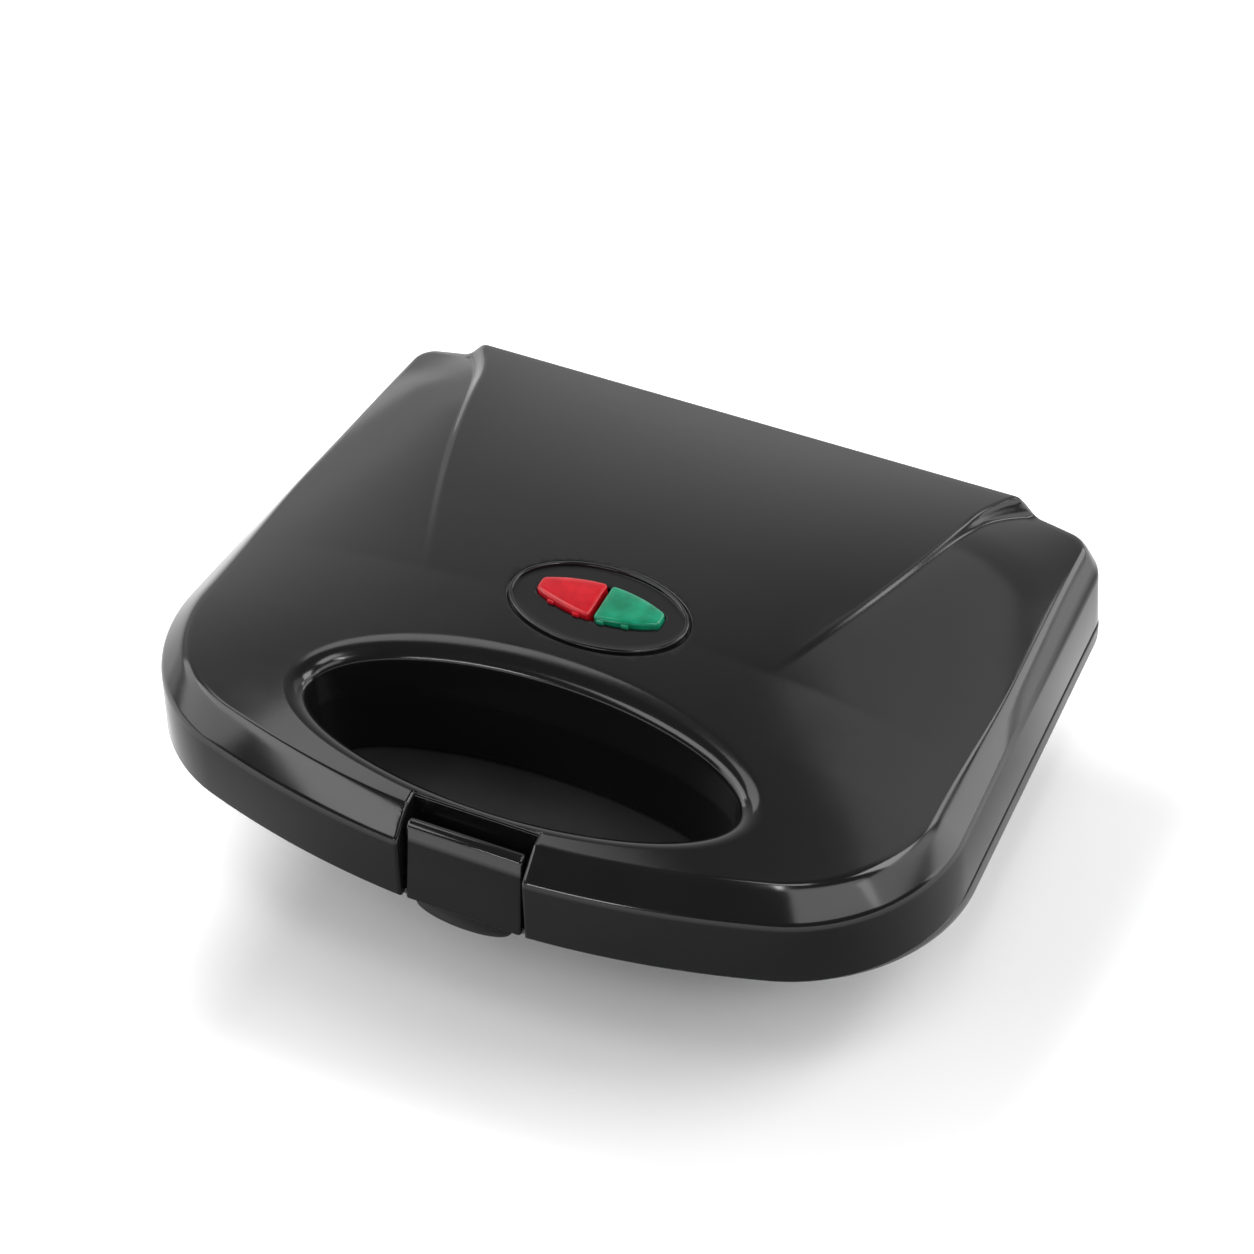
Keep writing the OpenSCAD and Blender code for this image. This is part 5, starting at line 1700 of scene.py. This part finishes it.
    def deck(self) -> Object:
        """Builds the deck round the lower plate, with the two posts for the base screws."""
        edge, z = self.deck_inset, AT.deck_z
        deck = bar("base_deck_cover", self.plan(edge, edge, edge, 9.3), z, self.top, 0.35, True)
        places = [(side * AT.deck_screw[0], AT.deck_screw[1], 0) for side in BOTH]
        combine(deck, [revolve("deck_post", [[3.7, 20.2], [4.0, 20.5], [4.0, z + 1]], place, 32)
                       for place in places], "UNION")
        pilots = [revolve("pilot", [[1.55, 19.0], [1.55, 32.0]], place, 24) for place in places]
        return combine(deck, [plate_hole(z, self.top)] + pilots, "DIFFERENCE")


@dataclass
class LidFrame:
    """The flat frame that closes the lid round the upper plate."""

    form: LidForm
    thick: float = 2.5
    inset: float = 2.8
    edge: float = 0.35
    grip_more: float = 2.5
    notch_half: float = 27.0
    notch_depth: float = 16.9

    def build(self) -> Object:
        """Builds the frame with its cut-outs and screw holes."""
        f, z0, z1 = self.form, AT.frame_z, AT.frame_z + self.thick
        body = bar("lid_frame_cover", f.plan(self.inset, self.inset), z0, z1, self.edge, True)
        a, b = f.grip_length + self.grip_more, f.grip_width + self.grip_more
        steps = ((self.edge + 0.05, z0 - 1), (self.edge, z0), (0, z0 + self.edge), (0, z1 + 1))
        rows = [level(oval(a + more, b + more, f.grip_y, full_turn(96)), z) for more, z in steps]
        w, y0, y1 = self.notch_half, f.front - 4, f.front + self.notch_depth
        corners = np.array([[-w, y0], [w, y0], [w, y1], [-w, y1]])
        notch = loft("frame_notch", [level(corners, z) for z in (z0 - 1, z1 + 1)])
        cutters = [loft("frame_grip", rows), notch, plate_hole(z0, z1)]
        profile = [(3.3, z0 - 1), (3.3, z0 - 0.01), (3.1, z0 + 0.2), (3.1, z0 + 1.1), (1.7, z0 + 1.11),
                   (1.7, z1 + 1)]
        cutters += [revolve("screw_hole", profile, (side * AT.frame_screw[0], AT.frame_screw[1], 0), 36)
                    for side in BOTH]
        return combine(body, cutters, "DIFFERENCE")


# ---------------------------------------------------------------- screws, pins, feet, bush


@dataclass(frozen=True)
class Screw:
    """A screw with a cross recess, a pan or countersunk head and a threaded shank.

    The head's outer face is at height 0, and the shank runs along +z, or along -z where down is set.
    """

    head_high: float = 1.0
    length: float = 10.0
    sunk: bool = False
    down: bool = False
    head: float = 2.9
    shank: float = 1.5
    pitch: float = 1.1
    thread: float = 0.28
    thread_fade: float = 1.2
    thread_steps: int = 7
    recess: float = 0.75
    recess_half: tuple = (0.52, 0.32)
    recess_taper: float = 0.6
    steps: int = 28

    def ring(self, radius: float | Array, height: float) -> Array:
        """Gives one ring of the screw."""
        return level(oval(radius, radius, 0.0, full_turn(self.steps)), height)

    def build(self) -> Object:
        """Builds the screw about the origin.

        The thread is a lathe-like skin whose radius is the shank's less thread times the triangle
        wave of height / pitch - angle / turn, so that its crest climbs by one pitch in a turn.
        """
        r, high = self.head, self.head_high
        if self.sunk:
            head = [(r - 0.35, 0.1), (r - 0.02, 0.16), (r - 0.1, 0.3), (self.shank, high)]
        else:
            head = [(r * 0.55, 0.0), (r - 0.3, 0.08), (r - 0.04, 0.35), (r, 0.6), (r, high),
                    (self.shank, high + 0.01)]
        rings = [self.ring(*step) for step in head]
        start = high + 0.5
        for h in np.arange(start, self.length - 0.6, self.pitch / self.thread_steps):
            phase = (h / self.pitch - full_turn(self.steps) / (2 * np.pi)) % 1
            fade = min(1.0, (h - start) / self.thread_fade, (self.length - h) / self.thread_fade)
            rings.append(self.ring(self.shank - 0.02 - self.thread * fade * (1 - np.abs(1 - 2 * phase)), h))
        rings.append(self.ring(self.shank - 0.5, self.length))
        body = loft("screw", rings)
        wide, narrow = r * self.recess_half[0], self.recess_half[1]
        cross = []
        for a, b in ((wide, narrow), (narrow, wide)):
            line = np.array([[-a, -b], [a, -b], [a, b], [-a, b]])
            cross.append(loft("recess", [level(line, -1.0), level(line, 0.1),
                                         level(line * self.recess_taper, self.recess)]))
        combine(body, cross, "DIFFERENCE")
        if self.down:
            body.data.transform(Matrix.Rotation(math.pi, 4, "X"))
        return body


@dataclass
class Fittings:
    """The small turned pieces: screws, pins, feet and the cord's bush."""

    pin: float = 2.0
    pin_reach: float = 12.3
    latch_pin: float = 1.2
    latch_reach: float = 23.5
    rod_edge: float = 0.35
    deck_screw_z: float = 13.8
    foot: tuple = ((2.2, 8.5), (2.2, 3.7), (7.6, 3.7), (8.0, 3.4))
    foot_round: tuple = (7.2, 0.8)
    foot_dish: tuple = ((5.4, 0.0), (5.0, 0.25), (2.5, 0.35), (0.4, 0.35))
    bush_profile: tuple = ((3.2, 79.6), (5.2, 79.5), (5.4, 79.9), (5.4, 97.64), (7.5, 97.65), (7.8, 97.95),
                           (7.8, 99.1), (7.5, 99.7), (6.8, 100.0), (4.6, 100.0), (3.7, 99.6), (3.2, 98.6))

    def frame_screws(self) -> Object:
        """Builds the two screws of the lid's frame."""
        x, y = AT.frame_screw
        return repeat("frame_screws", Screw().build(), [(side * x, y, AT.frame_z) for side in BOTH])

    def base_screws(self) -> Object:
        """Builds the two long screws that hold the deck."""
        x, y = AT.deck_screw
        places = [(side * x, y, self.deck_screw_z) for side in BOTH]
        return repeat("deck_screws", Screw(2.1, 17.2).build(), places)

    def plate_screws(self, name: str, face: float, down: bool) -> Object:
        """Builds the four countersunk screws of a cooking plate.

        Args:
            name: Name of the piece.
            face: Height of the plate's face.
            down: Whether the shanks point down.

        Returns:
            The screws, as one object.
        """
        places = [(sx * AT.plate_screw_x, AT.plate_y + sy * AT.plate_screw_y, face) for sx, sy in CORNERS]
        return repeat(name, Screw(1.5, sunk=True, down=down).build(), places)

    def hinge_pins(self) -> Object:
        """Builds the two hinge pins, with chamfered ends."""
        rod = bar("rod", circle(self.pin, AT.hinge_y, AT.hinge_z), -self.pin_reach, self.pin_reach,
                  self.rod_edge)
        return repeat("hinge_rods", rod, [(side * AT.hinge_x, 0, 0) for side in BOTH])

    def latch_rod(self) -> Object:
        """Builds the latch's pin, with chamfered ends."""
        return bar("latch_rod", circle(self.latch_pin, AT.latch_y, AT.latch_z), -self.latch_reach,
                   self.latch_reach, self.rod_edge)

    def feet(self) -> Object:
        """Builds the four rubber feet, each with a rounded edge and a shallow dish in its sole."""
        x, r = self.foot_round
        edge = [(x + r * math.cos(v), r - r * math.sin(v)) for v in np.linspace(0, np.pi / 2, 6)]
        foot = revolve("foot", [*self.foot, *edge, *self.foot_dish], (0, 0, 0))
        return repeat("feet", foot, [(side * AT.foot_x, y, 0) for side in BOTH for y in AT.foot_ys])

    def bush(self) -> Object:
        """Builds the cord's bush: a flange with a rounded edge, a neck and a flared hole."""
        t, profile = full_turn(64), np.array(self.bush_profile)
        r, h = profile[:, :1], profile[:, 1:2]
        rows = np.stack([AT.cord_x + r * np.cos(t), np.broadcast_to(h, (len(profile), 64)),
                         AT.cord_z - r * np.sin(t)], -1)
        return ring_tube("bush", rows)


# ---------------------------------------------------------------- studio


def bearing(azimuth: float, elevation: float) -> Vector:
    """Gives the direction at an azimuth, from the front toward the right, and an elevation in degrees."""
    a, e = math.radians(azimuth), math.radians(elevation)
    return Vector((math.sin(a) * math.cos(e), -math.cos(a) * math.cos(e), math.sin(e)))


@dataclass(frozen=True)
class Softbox:
    """A rectangular lamp that faces the part, with its bearing in degrees and its sizes in metres."""

    name: str
    azimuth: float
    elevation: float
    distance: float
    wide: float
    high: float
    radiance: float
    aim: float = 0.06

    def build(self) -> None:
        """Adds the lamp. Its power is radiance times pi times its area."""
        away = bearing(self.azimuth, self.elevation)
        data = bpy.data.lights.new(self.name, "AREA")
        data.shape = "RECTANGLE"
        data.size, data.size_y = self.wide, self.high
        data.energy = self.radiance * math.pi * self.wide * self.high
        obj = place_object(self.name, data)
        obj.location = away * self.distance + Vector((0, 0, self.aim))
        obj.rotation_euler = (-away).to_track_quat("-Z", "Y").to_euler()
        obj.visible_camera = False


LAMPS = (
    Softbox("left_softbox", -58, 33, 1.7, 1.6, 0.55, 3.5),
    Softbox("right_softbox", 101, 34, 1.6, 1.5, 0.45, 2.1),
    Softbox("front_right_softbox", 52, 38, 1.6, 1.2, 0.5, 2.4),
    Softbox("rear_right_softbox", 128, 13, 1.6, 1.5, 0.6, 3.2),
    Softbox("rear_left_key", -105, 58, 1.8, 0.7, 0.7, 2.6),
    Softbox("rear_right_key", 116, 54, 1.8, 0.8, 0.7, 6.0),
    Softbox("rear_softbox", 166, 50, 1.8, 0.9, 0.6, 0.7),
    Softbox("left_low_softbox", -75, 16, 1.7, 1.35, 0.55, 2.3),
    Softbox("left_horizon_strip", -136, 4, 1.8, 0.8, 0.16, 1.0),
    Softbox("low_strip", -10, 11, 1.7, 0.5, 0.1, 16.0),
    Softbox("high_strip", 20, 50, 1.7, 0.07, 0.4, 22.0),
    Softbox("top_box", 28, 71, 1.7, 0.55, 0.5, 4.6),
    Softbox("right_crease_box", 143, 36, 1.8, 0.35, 0.35, 4.5),
)


@dataclass
class Studio:
    """Pale floor with a painted shadow in its glow, soft lamps, sky and camera.

    The camera's distance, shifts and target are millimetres, and its focal length is in pixels of
    the image. The numbers of the glow and the sky are metres, strengths and shares.
    """

    azimuth: float = 28.5
    elevation: float = 43.2
    roll: float = -3.25
    distance: float = 1190.0
    focal: float = 4245.0
    shift_right: float = 1.0
    shift_up: float = 0.7
    target: tuple = (0.0, -0.12, 64.0)
    image: int = 1254
    sensor: float = 36.0
    clip: tuple = (0.05, 30.0)
    floor_reach: float = 3200.0
    floor_bend: float = 200.0
    floor_wall: float = 50.0
    floor_rings: tuple = (0.01, 500.0, 1200.0)
    floor_steps: int = 72
    floor_tone: float = 0.86
    floor_glow: float = 0.6
    # Painted shadow: the rectangle under the part, and the distances in metres over which the floor's glow
    # fades in round it.
    painted_shadow_centre: tuple = (0.04, -0.035)
    painted_shadow_half: tuple = (0.1, 0.085)
    painted_shadow_fade: tuple = (0.0, 0.056)
    far_glow: float = 0.35
    far_reach: tuple = (0.5, 2.0)
    sky: tuple = (-0.3, 1.0, 0.12, 1.75)
    sky_axis: tuple = (-0.35, 0.75, -0.55)
    sky_low: tuple = (0.0, 0.34, 0.3, 1.0)

    def camera(self) -> None:
        """Adds the camera, at a distance from the target along a direction above the front right."""
        a, r = math.radians(self.azimuth), math.radians(self.roll)
        back = bearing(self.azimuth, self.elevation)
        right = Vector((math.cos(a), math.sin(a), 0))
        up = back.cross(right)
        right, up = math.cos(r) * right + math.sin(r) * up, math.cos(r) * up - math.sin(r) * right
        place = Vector(self.target) + right * self.shift_right + up * self.shift_up + back * self.distance
        data = bpy.data.cameras.new("camera")
        data.sensor_width = self.sensor
        data.lens = self.focal / self.image * self.sensor
        data.clip_start, data.clip_end = self.clip
        obj = place_object("camera", data)
        obj.matrix_world = Matrix.Translation(place * MM) @ Matrix((right, up, back)).transposed().to_4x4()
        bpy.context.scene.camera = obj

    def floor(self) -> None:
        """Adds a floor that rises into a wall all round, as one turned surface.

        Its radius and height follow a profile that is level, then a quarter circle, then upright.
        """
        bend, reach, r = np.linspace(0, np.pi / 2, 12), self.floor_reach, self.floor_bend
        flat = np.zeros(len(self.floor_rings))
        radius = np.concatenate([self.floor_rings, reach + r * np.sin(bend), [reach + r]])
        height = np.concatenate([flat, r * (1 - np.cos(bend)), [r + self.floor_wall]])
        turn = full_turn(self.floor_steps)
        rings = np.array([level(oval(a, a, 0.0, turn), z) for a, z in zip(radius, height)])
        floor = add_mesh("floor", rings.reshape(-1, 3), [grid_faces(len(radius), len(turn), wrap_cols=True)])
        if floor.data.polygons[0].normal.z < 0:
            floor.data.flip_normals()
        p = Paint("floor_paint", Roughness=0.9, Specular_IOR_Level=0.1)
        p.colour(p.noise(3.0), 0.3, 0.7, (self.floor_tone,) * 3, (self.floor_tone + 0.01,) * 3)
        rays = p.add("LightPath").outputs
        seen = p.joined("MAXIMUM", rays["Is Camera Ray"], rays["Is Glossy Ray"])
        seen = p.joined("MAXIMUM", seen, rays["Is Transmission Ray"])
        glow = p.add("Emission")
        p.link(p.joined("MULTIPLY", seen, self.glow(p)), glow.inputs["Strength"])
        both = p.add("AddShader")
        p.link(p.shader.outputs[0], both.inputs[0])
        p.link(glow.outputs[0], both.inputs[1])
        p.link(both.outputs[0], p.out.inputs["Surface"])
        floor.data.materials.append(p.material)

    def glow(self, p: Paint) -> Socket:
        """Gives the floor's glow, which fades out toward the part. It paints a soft shadow round the part,
        deepest at the front right, on top of the shadow that the lamps cast.

        It follows the distance from a rectangle under the part, |max(|p - c| - inner, 0)|, and grows
        again far away, where the lamps don't reach.
        """
        last = p.place
        for operation, value in (("SUBTRACT", (*self.painted_shadow_centre, 0)), ("ABSOLUTE", None),
                                 ("SUBTRACT", (*self.painted_shadow_half, 0)), ("MAXIMUM", (0, 0, 0)),
                                 ("MULTIPLY", (1, 1, 0)), ("LENGTH", None)):
            node = p.add("VectorMath", {1: value} if value else None, operation=operation)
            p.link(last, node.inputs[0])
            last = node.outputs["Value" if operation == "LENGTH" else "Vector"]
        # Painted shadow: no glow near the part, and full glow past the far end of the fade.
        near = p.ranged(last, *self.painted_shadow_fade, 0.0, self.floor_glow, "SMOOTHSTEP")
        return p.joined("ADD", near, p.ranged(last, *self.far_reach, 0.0, self.far_glow, "SMOOTHSTEP"))

    def light(self) -> None:
        """Adds the sky and the lamps.

        The sky is brightest at the rear left and dim overhead and in front: its strength follows
        the dot product of the direction with sky_axis, times a fall toward the horizon. The camera
        sees it white.
        """
        world = bpy.data.worlds.new("studio_sky")
        world.use_nodes = True
        n = Nodes(world.node_tree)
        ground = n.tree.nodes["Background"]
        ground.inputs[0].default_value = (1, 1, 1, 1)
        way = n.add("TexCoord").outputs["Generated"]
        dot = n.add("VectorMath", {1: self.sky_axis}, operation="DOT_PRODUCT")
        n.link(way, dot.inputs[0])
        sky = n.joined("MULTIPLY", n.ranged(dot.outputs["Value"], *self.sky, "SMOOTHSTEP"),
                       n.ranged(n.height(way), *self.sky_low))
        n.link(n.joined("MAXIMUM", sky, n.add("LightPath").outputs["Is Camera Ray"]), ground.inputs[1])
        bpy.context.scene.world = world
        for lamp in LAMPS:
            lamp.build()

    def build(self) -> None:
        """Sets up the whole studio."""
        self.camera()
        self.floor()
        self.light()
        bpy.context.scene.view_settings.view_transform = "Standard"


# ---------------------------------------------------------------- assembly


def main() -> None:
    """Builds the studio, the finishes and every piece, in that order."""
    Studio().build()
    shop = Workshop()
    shop.dress_nodes()
    form, base, small = LidForm(), Base(), Fittings()
    lamps = Indicators(form)
    upper = CookingPlate("upper_plate_cover", 10.0, AT.upper_face, True)
    lower = CookingPlate("lower_plate_cover", 12.0, AT.lower_face)
    shop.fit(LidCover(form).build(), Body.LID, Slot.LID_GLOSS, "lid_shell")
    shop.fit(lamps.face(), Body.LID, Slot.LID_GLOSS, "indicator_bezel")
    shop.fit(lamps.lens("red_lens_cap", -1, (4.5, 13.0)), Body.LID, Slot.RED, "red_lens")
    shop.fit(lamps.lens("green_lens_cap", 1, (3.0, 10.0)), Body.LID, Slot.GREEN, "green_lens")
    shop.fit(Latch(form).build(), Body.LATCH, Slot.LID_GLOSS, "latch")
    shop.fit(LidFrame(form).build(), Body.LID, Slot.HOUSING, "lid_frame")
    shop.fit(upper.build(), Body.LID, Slot.COATING, "upper_plate")
    shop.fit(lower.build(), Body.BASE, Slot.COATING, "lower_plate")
    shop.fit(base.build(), Body.BASE, Slot.HOUSING, "base_shell")
    shop.fit(base.deck(), Body.BASE, Slot.HOUSING, "base_deck")
    shop.fit(small.frame_screws(), Body.LID, Slot.ZINC, "lid_frame_screws")
    shop.fit(small.base_screws(), Body.BASE, Slot.ZINC, "base_screws")
    shop.fit(small.plate_screws("upper_screws", AT.upper_face, False), Body.LID, Slot.ZINC,
             "upper_plate_screws")
    shop.fit(small.plate_screws("lower_screws", AT.lower_face, True), Body.BASE, Slot.ZINC,
             "lower_plate_screws")
    shop.fit(small.hinge_pins(), Body.BASE, Slot.ZINC, "hinge_pins")
    shop.fit(small.latch_rod(), Body.LID, Slot.ZINC, "latch_pin")
    shop.fit(small.feet(), Body.BASE, Slot.RUBBER, "rubber_feet")
    shop.fit(small.bush(), Body.BASE, Slot.HOUSING, "cord_bush")


if __name__ == "__main__":
    logging.basicConfig(level=logging.INFO, format="%(message)s")
    main()
